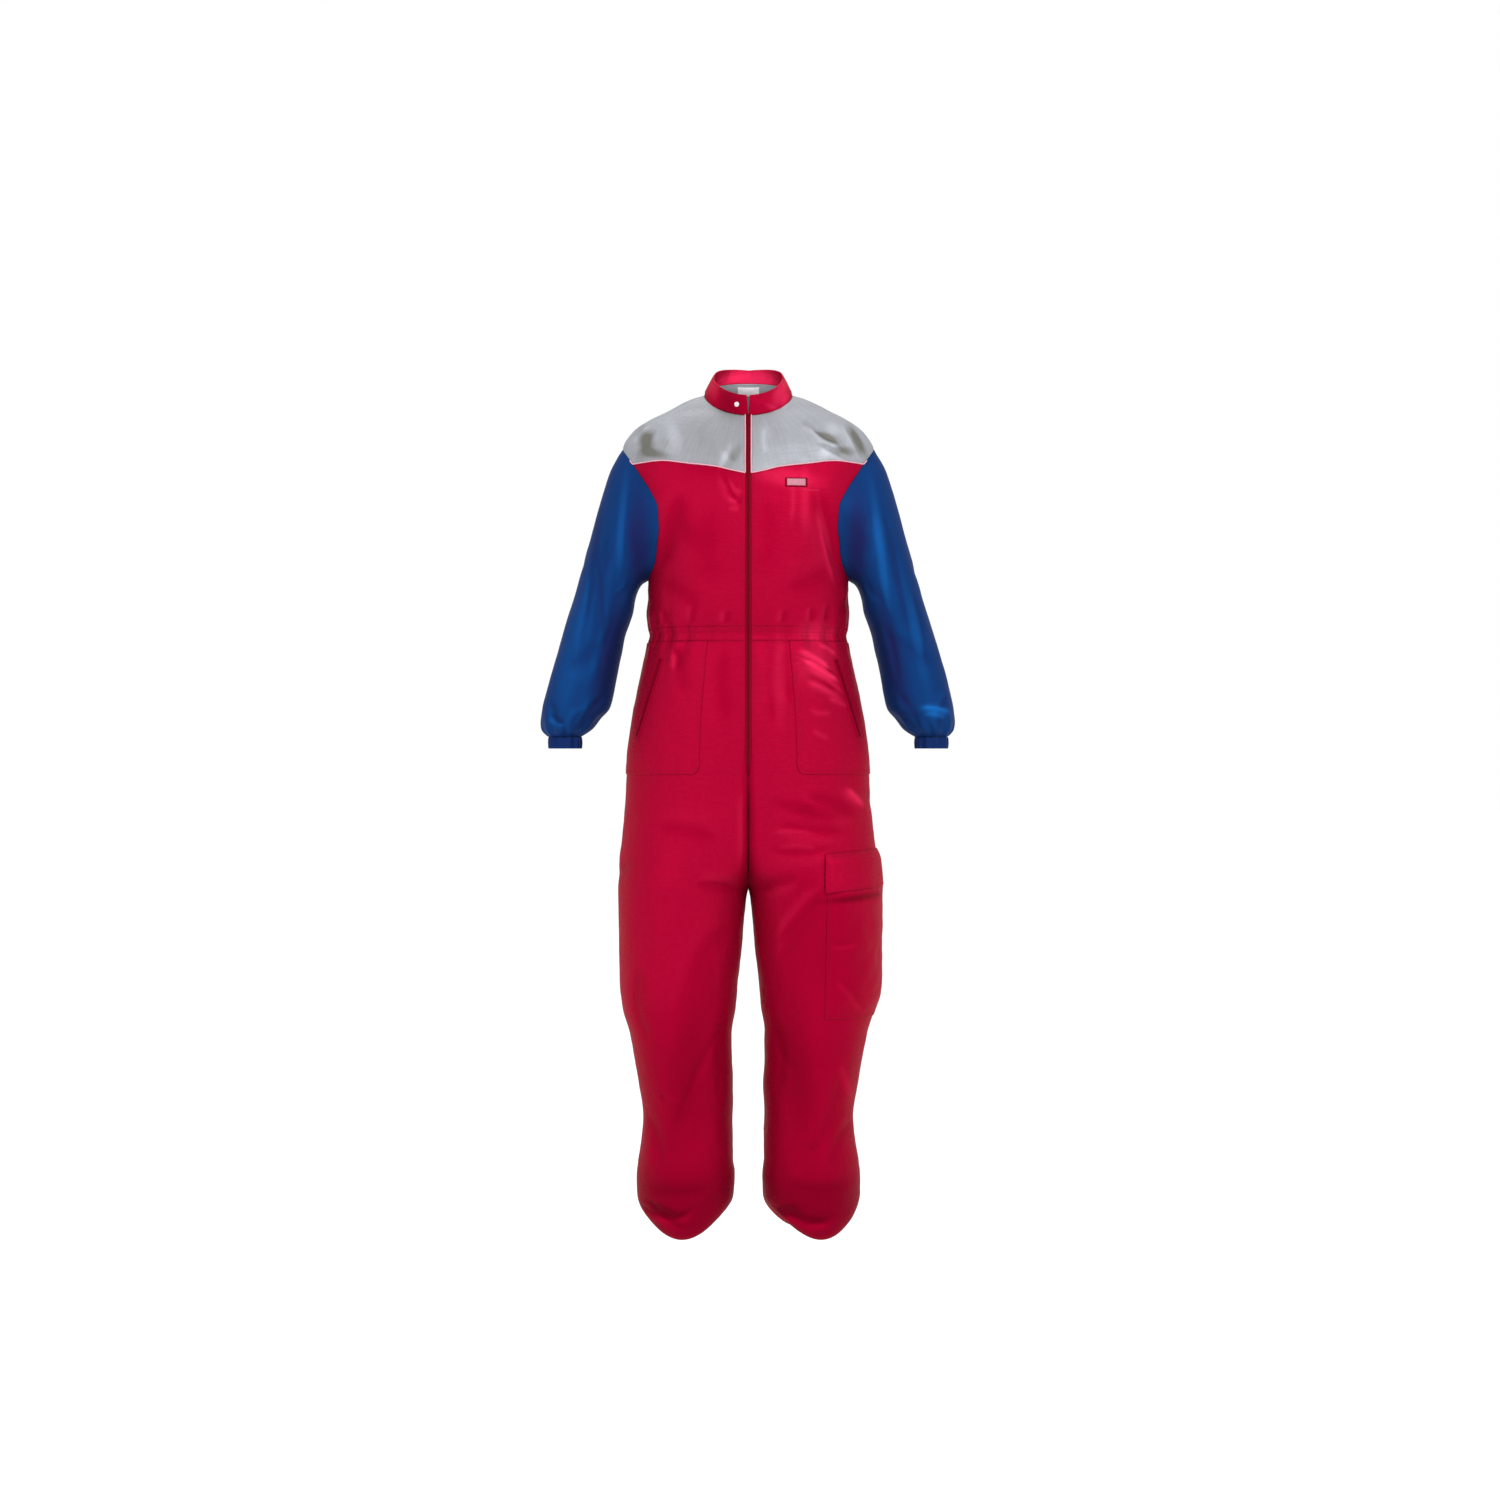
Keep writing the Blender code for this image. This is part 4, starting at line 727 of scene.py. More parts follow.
def coons(bottom, top, left, right, u, v):
    """(turn, z) inside four edges that meet at their corners."""
    out = []
    for i in range(2):
        edges = mixed(bottom(u)[i], top(u)[i], v) + mixed(left(v)[i], right(v)[i], u)
        low = mixed(bottom(0.0 * u)[i], bottom(0.0 * u + 1)[i], u)
        high = mixed(top(0.0 * u)[i], top(0.0 * u + 1)[i], u)
        out.append(edges - mixed(low, high, v))
    return out


def shares(length, step, start_seam=True, end_seam=True):
    """Places from 0 to 1 along a length, close together beside a seam."""
    near = np.array(SEAM_POINTS) / length
    first = near[-1] if start_seam else 0.0
    last = 1 - near[-1] if end_seam else 1.0
    inner = np.linspace(first, last, max(2, round(length * (last - first) / step) + 1))
    places = [0.0, 1.0, *inner]
    if start_seam:
        places += list(near[:-1])
    if end_seam:
        places += list(1 - near[:-1])
    return np.unique(np.round(places, 7))


Base = collections.namedtuple("Base", "points out along ring")


def half_panel(side, step):
    """Half of the front or the back, from the centre line to the side, from the waist to the yoke."""
    at_back = side == "back"
    rows = SIDE_ROWS + ARMHOLE_STEPS - YOKE_STEPS
    edge = 0.0 if at_back else ZIP_HALF_WIDTH

    def bottom(u):
        return mixed(body_turn(edge, WAIST_TOP, at_back), 90.0, u), WAIST_TOP + 0 * u

    def centre(v):
        z = mixed(WAIST_TOP, float(YOKE_SEAM.read(side + "_z", 0.0)), v)
        return body_turn(edge, z, at_back), z

    def outer(v):
        row = v * rows
        turn, z = armhole(np.clip(row - SIDE_ROWS, 0, None), side)
        side_z = mixed(WAIST_TOP, ARMPIT, row / SIDE_ROWS)
        return np.where(row <= SIDE_ROWS, 90.0, turn), np.where(row <= SIDE_ROWS, side_z, z)

    u, v = np.meshgrid(shares(PANEL_SPAN[0], step, not at_back), shares(PANEL_SPAN[1], step))
    turn, z = coons(bottom, lambda s: yoke_seam(s, side), centre, outer, u, v)
    return Base(*body(turn, z), u, False)


def half_yoke(side, step):
    """Half of the front or back yoke, from the centre line to the shoulder seam, seam to neck."""
    at_back = side == "back"
    columns = 14
    seam_columns = columns - YOKE_STEPS

    def bottom(u):
        column = u * columns
        on_seam = yoke_seam(np.clip(column / seam_columns, 0, 1), side)
        on_armhole = armhole(ARMHOLE_STEPS - YOKE_STEPS + np.clip(column - seam_columns, 0, None), side)
        return [np.where(column <= seam_columns, a, b) for a, b in zip(on_seam, on_armhole)]

    def centre(v):
        z = mixed(float(YOKE_SEAM.read(side + "_z", 0.0)), float(neck_seam(0.0, side)[1]), v)
        return body_turn(0.0 if at_back else ZIP_HALF_WIDTH, z, at_back), z

    def shoulder(v):
        return 90.0 + 0 * v, mixed(float(ARMHOLE.read("front_z", ARMHOLE_STEPS)), 0.0, v)

    u, v = np.meshgrid(shares(YOKE_SPAN[0], step * FINE, not at_back), shares(YOKE_SPAN[1], step * FINE))
    turn, z = coons(bottom, lambda s: neck_seam(s, side), centre, shoulder, u, v)
    return Base(*body(turn, z), 0 * u, False)


def sleeve_line(ring, s):
    """Points of the left sleeve: s is 0 at its outer edge, 90 in front and 180 inside."""
    zero = np.zeros_like(ring)
    outer = np.stack([SLEEVE.read("outer_x", ring), zero, SLEEVE.read("outer_z", ring)], -1)
    inner = np.stack([SLEEVE.read("inner_x", ring), zero, SLEEVE.read("inner_z", ring)], -1)
    depth = np.stack([zero, SLEEVE.read("half_depth", ring), zero], -1)
    a = np.radians(s)[..., None]
    middle = (outer + inner) / 2
    return middle + (outer - inner) / 2 * np.cos(a) - depth * np.sin(a), middle


def level_out(points, middle):
    """The way out of a ring of cloth round an upright line at x = middle, with no rise."""
    return unit(points - np.array([middle, 0, 0]) - points * [0, 0, 1])


def cuff_line(s, z):
    a = np.radians(s)
    radius = (CUFF_OUTER - CUFF_INNER) / 2 + CUFF_GATHER_DEPTH * np.cos(CUFF_GATHERS * a)
    x = (CUFF_OUTER + CUFF_INNER) / 2 + radius * np.cos(a)
    return np.stack([x, -radius * np.sin(a), z + 0 * a], -1)


def armhole_line(s):
    """Points of the left armhole for places round the sleeve, and the body's way out there."""
    in_front = s <= 180
    step = np.where(in_front, ARMHOLE_STEPS * (1 - s / 180), ARMHOLE_STEPS * (s / 180 - 1))
    turn, z = [np.where(in_front, a, b) for a, b in zip(armhole(step, "front"), armhole(step, "back"))]
    return body(turn, z)


def sleeve(step):
    columns = round(SLEEVE_SPAN[0] / step)
    s = np.arange(columns) * 360.0 / columns
    ring, s = np.meshgrid(SLEEVE_RINGS * shares(SLEEVE_SPAN[1], step), s, indexing="ij")
    points, middle = sleeve_line(ring, s)
    out = unit(points - middle)
    seam, seam_out = armhole_line(s[0])
    out = unit(mixed(out, seam_out[None], (1 - eased(ring / 0.7))[..., None]))
    bend = seam - sleeve_line(0.0 * s[0], s[0])[0]
    fade = np.clip(1 - ring / SLEEVE_RINGS / CAP_FADE, 0, 1)[..., None] ** 2
    points = points + bend[None] * fade
    # The last stretch draws in to the cuff, with gathers that run out up the sleeve.
    to_cuff = eased(ring - (SLEEVE_RINGS - 1))[..., None]
    end = cuff_line(s, float(SLEEVE.read("outer_z", SLEEVE_RINGS)) + 0 * s)
    gathers = np.cos(np.radians(CUFF_GATHERS * s)) + 0.5 * np.cos(np.radians(SLEEVE_GATHERS * s + 40))
    reach = eased((ring - SLEEVE_GATHER_START) / SLEEVE_GATHER_RUN) * (1 - to_cuff[..., 0])
    points = mixed(points, end, to_cuff) + out * (SLEEVE_GATHER_DEPTH * gathers * reach)[..., None]
    return Base(points, out, 0 * ring, True)


def cuff(step):
    top = float(SLEEVE.read("outer_z", SLEEVE_RINGS))
    columns = round(CUFF_SPAN[0] / (step * FINER))
    rows = shares(CUFF_SPAN[1], step / 2, True, False)
    v, s = np.meshgrid(rows, np.arange(columns) * 360.0 / columns, indexing="ij")
    points = cuff_line(s, mixed(top, CUFF_BOTTOM, v))
    out = level_out(points, (CUFF_OUTER + CUFF_INNER) / 2)
    pleats = CUFF_PLEAT_DEPTH * np.cos(np.radians(CUFF_PLEATS * s + 25)) * np.sin(math.pi * v)
    return Base(points + out * (pleats + CUFF_FULLNESS * np.sin(math.pi * v))[..., None], out, 0 * v, True)


def leg_heights(step):
    """Heights of a leg's rows down to its bloused end, with one at each end of the zip."""
    ends = (WAIST_BOTTOM, ZIP_END, ZIP_TIP, CROTCH, LEG_TUBE_END)
    parts = [np.linspace(a, b, max(2, round((a - b) / step) + 1)) for a, b in zip(ends, ends[1:])]
    near = [WAIST_BOTTOM - d for d in SEAM_POINTS]
    return np.unique(np.round(np.concatenate([*parts, near]), 6))[::-1]


def leg_turns(side, z, u):
    if side == "front":
        return mixed(leg_turn(zip_opening(z), z), 90.0, u)
    return mixed(90.0, leg_turn(0.0 * z, z, True), 1 - u)


def hem_line(turn, z):
    a = np.radians(turn)
    middle = float(LEG.read("outer_x", LEG_TUBE_END) + LEG.read("inner_x", LEG_TUBE_END)) / 2
    radius = HEM_RADIUS + HEM_GATHER_DEPTH * np.cos(HEM_GATHERS * a)
    return np.stack([middle + radius * np.sin(a), -radius * np.cos(a), z + 0 * a], -1)


def bloused(turn, row, lean):
    """Points of the bloused end, and of its way back up inside to the elastic hem."""
    a = np.radians(turn)
    end, out = leg(turn, LEG_TUBE_END + 0 * turn)
    middle = float(LEG.read("outer_x", LEG_TUBE_END) + LEG.read("inner_x", LEG_TUBE_END)) / 2
    centre = np.array([middle, 0.0, 0.0])
    low = FOLD_LOW + FOLD_RISE * np.sin(a - math.radians(lean)) ** 2
    to_hem = BLOUSE.read("to_hem", row)
    size = BLOUSE.read("size", row) + HEM_GATHER_DEPTH / HEM_RADIUS * np.cos(HEM_GATHERS * a) * to_hem
    flat = centre + (end - centre) * size[..., None]
    z = mixed(mixed(LEG_TUBE_END, low, BLOUSE.read("down", row)), HEM_BOTTOM, to_hem)
    points = np.stack([flat[..., 0], flat[..., 1], z], -1)
    return mixed(points, hem_line(turn, HEM_BOTTOM), eased(row - 5)[..., None]), out


def leg_panel(side, lean, step):
    z = leg_heights(step)
    across = shares(LEG_SPAN, step)
    across = across if side == "front" else 1 - across
    z, u = np.meshgrid(z, across, indexing="ij")
    points, out = leg(leg_turns(side, z, u), z)
    rows = np.linspace(0, 6, round(BLOUSE_SPAN / step))[1:]
    rows, u_low = np.meshgrid(rows, across, indexing="ij")
    turn = leg_turns(side, LEG_TUBE_END + 0 * rows, u_low)
    low_points, low_out = bloused(turn, rows, lean)
    low_out = low_out * (1 - eased((rows - 3.5) / 1.5))[..., None]
    points = np.concatenate([points, low_points])[::-1]
    out = np.concatenate([out, low_out])[::-1]
    return Base(points, out, np.concatenate([u, u_low])[::-1], False)


def hem_band(step):
    columns = round(HEM_SPAN / (step * FINER))
    turn = np.arange(columns) * 360.0 / columns
    z, turn = np.meshgrid(np.linspace(HEM_TOP, HEM_BOTTOM, 7), turn, indexing="ij")
    points = hem_line(turn, z)
    return Base(points, level_out(points, points[..., 0].mean()), 0 * z, True)


def waistband(step):
    z = mixed(WAIST_BOTTOM, WAIST_TOP, shares(WAIST_SPAN[1], step * FINER))
    z, u = np.meshgrid(z, shares(WAIST_SPAN[0], step * FINE), indexing="ij")
    front, front_out = body(mixed(body_turn(ZIP_HALF_WIDTH, z), 90.0, u), z)
    back, back_out = body(mixed(90.0, 180.0, u), z)
    half = [np.concatenate([a, b[:, 1:]], axis=1) for a, b in ((front, back), (front_out, back_out))]
    along = np.concatenate([u, 1 - u[:, 1:]], axis=1)
    return Base(half[0], half[1], along, False)


def collar(step):
    """The stand collar, open at the front, from its seam to its top edge."""
    start = math.asin(ZIP_HALF_WIDTH / NECK_HALF_WIDTH)
    count = round(COLLAR_SPAN[0] / (step * 0.7))
    a = np.concatenate([[0.0, start / 2], np.linspace(start, math.pi / 2, count)[:-1],
                        np.linspace(math.pi / 2, math.pi, count)])
    a = np.concatenate([a, 2 * math.pi - a[::-1][1:]])
    seam_z = wave_of_height(NECK_SEAM, a)
    at_back = np.cos(a) < 0
    x = NECK_HALF_WIDTH * np.sin(a)
    turn = np.where(at_back, body_turn(np.abs(x), seam_z, True), body_turn(np.abs(x), seam_z))
    bottom, seam_out = body(turn, seam_z)
    bottom[:, 0] = x
    seam_out = seam_out * np.column_stack([np.where(a <= math.pi, 1.0, -1.0), 1 + 0 * a, 1 + 0 * a])
    notch = COLLAR_NOTCH * np.clip(1 - np.abs(np.sin(a)) / COLLAR_NOTCH_REACH, 0, 1) * (np.cos(a) > 0)
    corner = COLLAR_CORNER * np.clip(-np.cos(a), 0, 1) * np.abs(np.sin(a))
    side = np.where(a < math.pi, 1.0, -1.0)
    top_x = COLLAR_HALF_WIDTH * np.sin(a) + side * (notch + corner)
    top_y = (COLLAR_BACK - COLLAR_FRONT) / 2 - (COLLAR_BACK + COLLAR_FRONT) / 2 * np.cos(a)
    top = np.stack([top_x, top_y, wave_of_height(COLLAR_TOP, a) + corner], -1)
    v = shares(COLLAR_SPAN[1], step * FINER, True, False)[:, None, None]
    points = mixed(bottom[None], top[None], v)
    own_out = np.stack([np.sin(a), -np.cos(a), 0 * a], -1)
    out = unit(mixed(seam_out[None], own_out[None], eased(v / 0.2)))
    # A stand collar of two layers is a little full between its seam and its edge.
    full = COLLAR_FULLNESS * np.sin(math.pi * v[..., 0]) + 0 * a
    return Base(points + out * full[..., None], out, 0 * full, False)


def flipped(base):
    """The same piece on the wearer's right, its faces still looking out."""
    return Base(mirrored(base.points[:, ::-1]), mirrored(base.out[:, ::-1]), base.along[:, ::-1], base.ring)


def whole(half):
    """A piece across the centre of the back from its left half, whose columns end at the centre."""
    other = flipped(half)
    return Base(*[np.concatenate([a, b[:, 1:]], axis=1) for a, b in zip(half[:3], other[:3])], False)


def turned(base):
    return Base(base.points[:, ::-1], base.out[:, ::-1], base.along[:, ::-1], base.ring)


@functools.cache
def forms():
    """Every cut piece's form by name, for both sides."""
    step = settings()[0].mesh_step
    front, sleeve_left, cuff_left, hem = half_panel("front", step), sleeve(step), cuff(step), hem_band(step)
    yoke_front = half_yoke("front", step)
    made = {
        "front_left": front,
        "front_right": flipped(front),
        "back": whole(turned(half_panel("back", step))),
        "yoke_front_left": yoke_front,
        "yoke_front_right": flipped(yoke_front),
        "yoke_back": whole(turned(half_yoke("back", step))),
        "sleeve_left": sleeve_left,
        "sleeve_right": flipped(sleeve_left),
        "cuff_left": cuff_left,
        "cuff_right": flipped(cuff_left),
        "waistband": whole(waistband(step)),
        "collar": collar(step),
        "hem_left": hem,
        "hem_right": flipped(hem),
    }
    for side in ("front", "back"):
        made[f"leg_{side}_left"] = leg_panel(side, LEANS["left"], step)
        made[f"leg_{side}_right"] = flipped(leg_panel(side, LEANS["right"], step))
    return made


REGIONS = {
    "body": ("front_left", "front_right", "back", "yoke_front_left", "yoke_front_right", "yoke_back",
             "waistband"),
    "sleeves": ("sleeve_left", "sleeve_right"),
    "legs": ("leg_front_left", "leg_front_right", "leg_back_left", "leg_back_right"),
}
CREASES = {"body": BODY_CREASES, "sleeves": SLEEVE_CREASES, "legs": LEG_CREASES}
VIEWS = {
    "front": ((0, 2), np.array([0.0, -1.0, 0.0])),
    "back": ((0, 2), np.array([0.0, 1.0, 0.0])),
    "left": ((1, 2), np.array([1.0, 0.0, 0.0])),
    "right": ((1, 2), np.array([-1.0, 0.0, 0.0])),
}


@functools.cache
def crease_lines(region):
    """Each crease of a region as a run of points on the cloth's form."""
    bases = [forms()[name] for name in REGIONS[region]]
    points = np.concatenate([b.points.reshape(-1, 3) for b in bases])
    out = np.concatenate([b.out.reshape(-1, 3) for b in bases])
    lines = []
    for crease in CREASES[region]:
        axes, toward = VIEWS[crease.view]
        facing = out @ toward > 0.15
        seen, depth_axis = points[facing], 3 - sum(axes)
        places = np.array(crease.places)
        run = run_of(places)
        curve = Sections(("run", "a", "b"), np.column_stack([run, places]).tolist())
        along = np.linspace(0, run[-1], max(3, round(run[-1] / CREASE_STEP)))
        flat = np.column_stack([curve.read("a", along), curve.read("b", along)])
        every = slice(None, None, 6)
        gaps = np.linalg.norm(seen[None][:, :, list(axes)] - flat[every][:, None], axis=-1)
        near = np.argsort(gaps, axis=1)[:, :3]
        weight = 1 / (np.take_along_axis(gaps, near, axis=1) + 1e-4)
        depth = (seen[near, depth_axis] * weight).sum(1) / weight.sum(1)
        line = np.empty((len(along), 3))
        line[:, axes[0]], line[:, axes[1]] = flat[:, 0], flat[:, 1]
        line[:, depth_axis] = np.interp(along, along[every], depth)
        lines.append((crease, line, toward))
    return lines


def creased(points, out, region):
    """How far in each point goes for the creases of its region, and the painted highlight and painted shade
    they put into the cloth's colour there.
    """
    flat_points, depth = points.reshape(-1, 3), np.zeros(points.shape[:-1]).ravel()
    painted_crease_light = np.zeros_like(depth)
    flat_out = out.reshape(-1, 3)
    for crease, line, toward in crease_lines(region):
        reach = CREASE_REACH * crease.width
        low, high = line.min(0) - reach, line.max(0) + reach
        inside = ((flat_points > low) & (flat_points < high)).all(1) & (flat_out @ toward > -0.2)
        index = np.flatnonzero(inside)
        if not len(index):
            continue
        gap = flat_points[index][:, None] - line[None]
        nearest = (gap**2).sum(-1).argmin(1)
        gap = gap[np.arange(len(index)), nearest]
        tangent = unit(np.gradient(line, axis=0))[nearest]
        right = unit(np.cross(tangent, flat_out[index]))
        across = (gap * right).sum(-1)
        beyond = (gap * tangent).sum(-1)
        along = nearest / (len(line) - 1)
        taper = eased(np.minimum(along, 1 - along) / CREASE_TAPER)
        width = crease.width * (0.55 + 0.45 * taper)
        trough = np.exp(-np.abs(across / width) ** 1.6)
        lip = crease.lip * np.exp(-(((across - LIP_PLACE * width) / (LIP_WIDTH * width)) ** 2))
        strength = taper * np.exp(-(beyond / width) ** 2)
        depth[index] += crease.depth * strength * (trough - lip)
        # A sharp crease gets more painted highlight beside its trough, and more painted shade in it, than a
        # soft one; a ridge gets a painted highlight along its top.
        narrow, deep = (SHARP_WIDTH / crease.width) ** 2, abs(crease.depth) / SHARP_DEPTH
        sharp = 0.8 * min(1.0, narrow) * min(1.0, deep)
        crest = np.exp(-(((across - 1.5 * width) / width) ** 2)) - 0.8 * trough
        painted_crease_light[index] += sharp * strength * (1.3 * trough if crease.depth < 0 else crest)
    return depth.reshape(points.shape[:-1]), painted_crease_light.reshape(points.shape[:-1])


def lumps(points, size, seed):
    """Smooth noise from -1 to 1."""
    place = points / size + np.array([0.37, 0.61, 0.13]) * seed
    cell = np.floor(place)
    t = place - cell
    t = t * t * (3 - 2 * t)
    total = np.zeros(points.shape[:-1])
    for corner in np.ndindex(2, 2, 2):
        at = cell + np.array(corner)
        value = np.modf(np.abs(np.sin(at @ np.array([12.9898, 78.233, 37.719]) + seed) * 43758.5453))[0]
        weight = np.where(corner, t, 1 - t).prod(-1)
        total += weight * (2 * value - 1)
    return total


@functools.cache
def firm_points():
    """Points along the armholes and the neck seam, where the cloth is held to its form."""
    s = np.linspace(0, 360, 160, endpoint=False)
    arm = armhole_line(s)[0]
    neck = forms()["collar"].points[0]
    return np.concatenate([arm, mirrored(arm), neck])


def hold(points):
    """0 at an armhole or the neck seam and 1 away from it."""
    flat, firm = points.reshape(-1, 3), firm_points()
    near = np.full(len(flat), np.inf)
    for start in range(0, len(firm), 60):
        gap = ((flat[:, None] - firm[None, start:start + 60]) ** 2).sum(-1)
        near = np.minimum(near, gap.min(1))
    return eased(np.sqrt(near) / FIRM_REACH).reshape(points.shape[:-1])


def gathers(along, z, points):
    """How far out each point goes for the gathers of the elastic waist."""
    off = np.maximum(z - WAIST_TOP, 0.0) + np.maximum(WAIST_BOTTOM - z, 0.0)
    uneven = 1 + 0.45 * lumps(points * [1, 1, 0.3], 0.045, 5)
    wave = np.cos(2 * math.pi * WAIST_GATHERS * along) * uneven
    pleats = np.cos(2 * math.pi * WAIST_PLEATS * along + 3 * lumps(points, 0.06, 8)) * uneven
    broad = WAIST_GATHER_DEPTH * wave * np.exp(-off / WAIST_GATHER_REACH)
    return 0.8 * broad + WAIST_PLEAT_DEPTH * pleats * np.exp(-off / WAIST_PLEAT_REACH)


def painted_light_and_shade(points, out):
    """How much painted shade (below 0) and painted highlight (above 0) the listed spots put into the cloth's
    colour at each point.
    """
    total = np.zeros(points.shape[:-1])
    for spot in LIGHT_AND_SHADE_SPOTS:
        axes, toward = VIEWS[spot.view]
        gap = points[..., list(axes)] - np.array(spot.place)
        a = math.radians(spot.lean)
        across = gap[..., 0] * math.cos(a) + gap[..., 1] * math.sin(a)
        along = gap[..., 1] * math.cos(a) - gap[..., 0] * math.sin(a)
        facing = eased((out @ toward + 0.1) / 0.3)
        far = (across / spot.size[0]) ** 2 + (along / spot.size[1]) ** 2
        total += spot.amount * facing * np.exp(-far**SPOT_EDGE)
    return total


def relieved(base, region):
    """The form's points with its creases, gathers and lumps, and the painted shade and highlight in the
    cloth's colour at each point.
    """
    strength = settings()[0].crease_strength
    points, out = base.points, base.out
    in_cloth, painted_crease_light = creased(points, out, region)
    in_cloth = in_cloth * strength
    # Painted light and shade: the listed spots, the creases' painted highlights and shade, painted shade in
    # hollows and a painted highlight on ridges.
    shade = painted_light_and_shade(points, out) + painted_crease_light - HOLLOW_SHADE * np.clip(in_cloth / HOLLOW_DEPTH, -1.0, 1.0)
    for kind in LUMPS:
        in_cloth = in_cloth + kind.height * lumps(points * [1, 1, 1 / kind.stretch], kind.size, kind.seed)
    in_cloth = in_cloth * (hold(points) if region != "legs" else 1.0)
    if region != "sleeves":
        in_cloth = in_cloth - gathers(base.along, points[..., 2], points)
    return points - out * in_cloth[..., None], shade


def normals_of(points, ring=False):
    if ring:
        points = np.concatenate([points[:, -2:], points, points[:, :2]], axis=1)
    normal = unit(np.cross(np.gradient(points, axis=1), np.gradient(points, axis=0)))
    return normal[:, 2:-2] if ring else normal


def from_edges(points, ring):
    """How far each point is from the left, right, bottom and top edge, along the cloth."""
    across = np.linalg.norm(np.diff(points, axis=1), axis=-1)
    up = np.linalg.norm(np.diff(points, axis=0), axis=-1)
    left = np.concatenate([np.zeros((len(points), 1)), np.cumsum(across, axis=1)], axis=1)
    bottom = np.concatenate([np.zeros((1, points.shape[1])), np.cumsum(up, axis=0)], axis=0)
    far = np.full(points.shape[:2], 1.0)
    sides = {"left": far, "right": far} if ring else {"left": left, "right": left[:, -1:] - left}
    return {**sides, "bottom": bottom, "top": bottom[-1:] - bottom}


def sewn(points, seams, ring, out):
    """The points turned in at their seams, with the small puckers of sewing, and how near a seam is: a mark
    that paints shade into the cloth's colour there and makes it rougher.
    """
    depth = settings()[0].seam_depth
    normals = normals_of(points, ring)
    inward = -(normals if out is None else out)
    edges = from_edges(points, ring)
    far = np.full(points.shape[:2], 1.0)
    near = functools.reduce(np.minimum, [edges[name] for name in seams.split()], far)
    ripple = lumps(points, SEAM_PUCKER_SIZE, 31) * SEAM_PUCKER * np.exp(-near / SEAM_PUCKER_REACH)
    ripple = ripple * (1 - np.exp(-((near / SEAM_WIDTH) ** 2)))
    turn_in = depth * np.exp(-((near / SEAM_WIDTH) ** 2))
    points = points + normals * ripple[..., None] + inward * turn_in[..., None]
    return points, np.exp(-near / SEAM_SHADE_REACH)


# Meshes.

def mesh_object(name, points, faces, finish, uv=None, **marks):
    """A smooth mesh on the one body, with what is marked at its points."""
    mesh = bpy.data.meshes.new(name)
    mesh.from_pydata(points.tolist(), [], faces if isinstance(faces, list) else faces.tolist())
    if uv is not None:
        corners = np.empty(len(mesh.loops), np.int32)
        mesh.loops.foreach_get("vertex_index", corners)
        layer = mesh.uv_layers.new(name="Cloth")
        layer.uv.foreach_set("vector", uv[corners].astype(np.float32).ravel())
    for key, values in marks.items():
        attribute = mesh.attributes.new(key, "FLOAT", "POINT")
        attribute.data.foreach_set("value", values.astype(np.float32).ravel())
    mesh.shade_smooth()
    mesh.materials.append(finish)
    made = bpy.data.objects.new(name, mesh)
    bpy.context.scene.collection.objects.link(made)
    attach(made, "root")
    return made


def grid_faces(rows, columns, ring=False):
    index = np.arange(rows * columns).reshape(rows, columns)
    if ring:
        index = np.concatenate([index, index[:, :1]], axis=1)
    quads = np.stack([index[:-1, :-1], index[:-1, 1:], index[1:, 1:], index[1:, :-1]], -1)
    return quads.reshape(-1, 4)


def flat_size(points, ring):
    """The width, length and area that the piece was cut to."""
    if ring:
        points = np.concatenate([points, points[:, :1]], axis=1)
    width = np.linalg.norm(np.diff(points, axis=1), axis=-1).sum(1).max()
    length = np.linalg.norm(np.diff(points, axis=0), axis=-1).sum(0).max()
    across = points[:-1, 1:] - points[:-1, :-1]
    up = points[1:, :-1] - points[:-1, :-1]
    area = np.linalg.norm(np.cross(across, up), axis=-1).sum()
    return (round(float(width), 3), round(float(length), 3)), round(float(area), 5)


SHAPED = {}


def cloth(name, points, seams, finish, nodes, ring=False, thickness=None,
          out=None, shade=None):
    """A piece of cloth from a grid of points, sewn at the named edges, in place of its solids."""
    points, seam = sewn(points, seams, ring, out)
    shade = 0 * seam if shade is None else shade
    rows, columns = points.shape[:2]
    uv = np.stack(np.meshgrid(run_of(points[rows // 2]), run_of(points[:, columns // 2])), -1).reshape(-1, 2)
    made = mesh_object(name, points.reshape(-1, 3), grid_faces(rows, columns, ring), finish, uv,
                       seam=seam, shade=shade)
    shell = made.modifiers.new("Cloth", "SOLIDIFY")
    shell.thickness = thickness or settings()[0].thickness
    shell.offset = -1
    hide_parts(*nodes)
    flat, area = flat_size(points, ring)
    SHAPED[name] = points
    return made


def inset(points, edge, distance, start=0.0, end=1.0, ring=False):
    """Points and normals of a line on the cloth at a distance from one of its edges."""
    normals = normals_of(points, ring)
    if edge in ("left", "right"):
        points, normals = points.swapaxes(0, 1), normals.swapaxes(0, 1)
    if edge in ("right", "top"):
        points, normals = points[::-1], normals[::-1]
    steps = np.linalg.norm(np.diff(points, axis=0), axis=-1)
    run = np.concatenate([np.zeros((1, points.shape[1])), np.cumsum(steps, axis=0)])
    row = np.clip((run < distance).sum(0) - 1, 0, len(points) - 2)
    column = np.arange(points.shape[1])
    t = ((distance - run[row, column]) / np.maximum(steps[row, column], 1e-9))[:, None]
    line = mixed(points[row, column], points[row + 1, column], t)
    normal = unit(mixed(normals[row, column], normals[row + 1, column], t))
    first, last = round(start * (len(line) - 1)), round(end * (len(line) - 1)) + 1
    line, normal = line[first:last], normal[first:last]
    return (np.vstack([line, line[:1]]), np.vstack([normal, normal[:1]])) if ring else (line, normal)


def resampled(line, normals, at):
    run = run_of(line)
    return read_along(at, run, line), unit(read_along(at, run, normals))


def length_of(line):
    return float(np.linalg.norm(np.diff(line, axis=0), axis=1).sum())


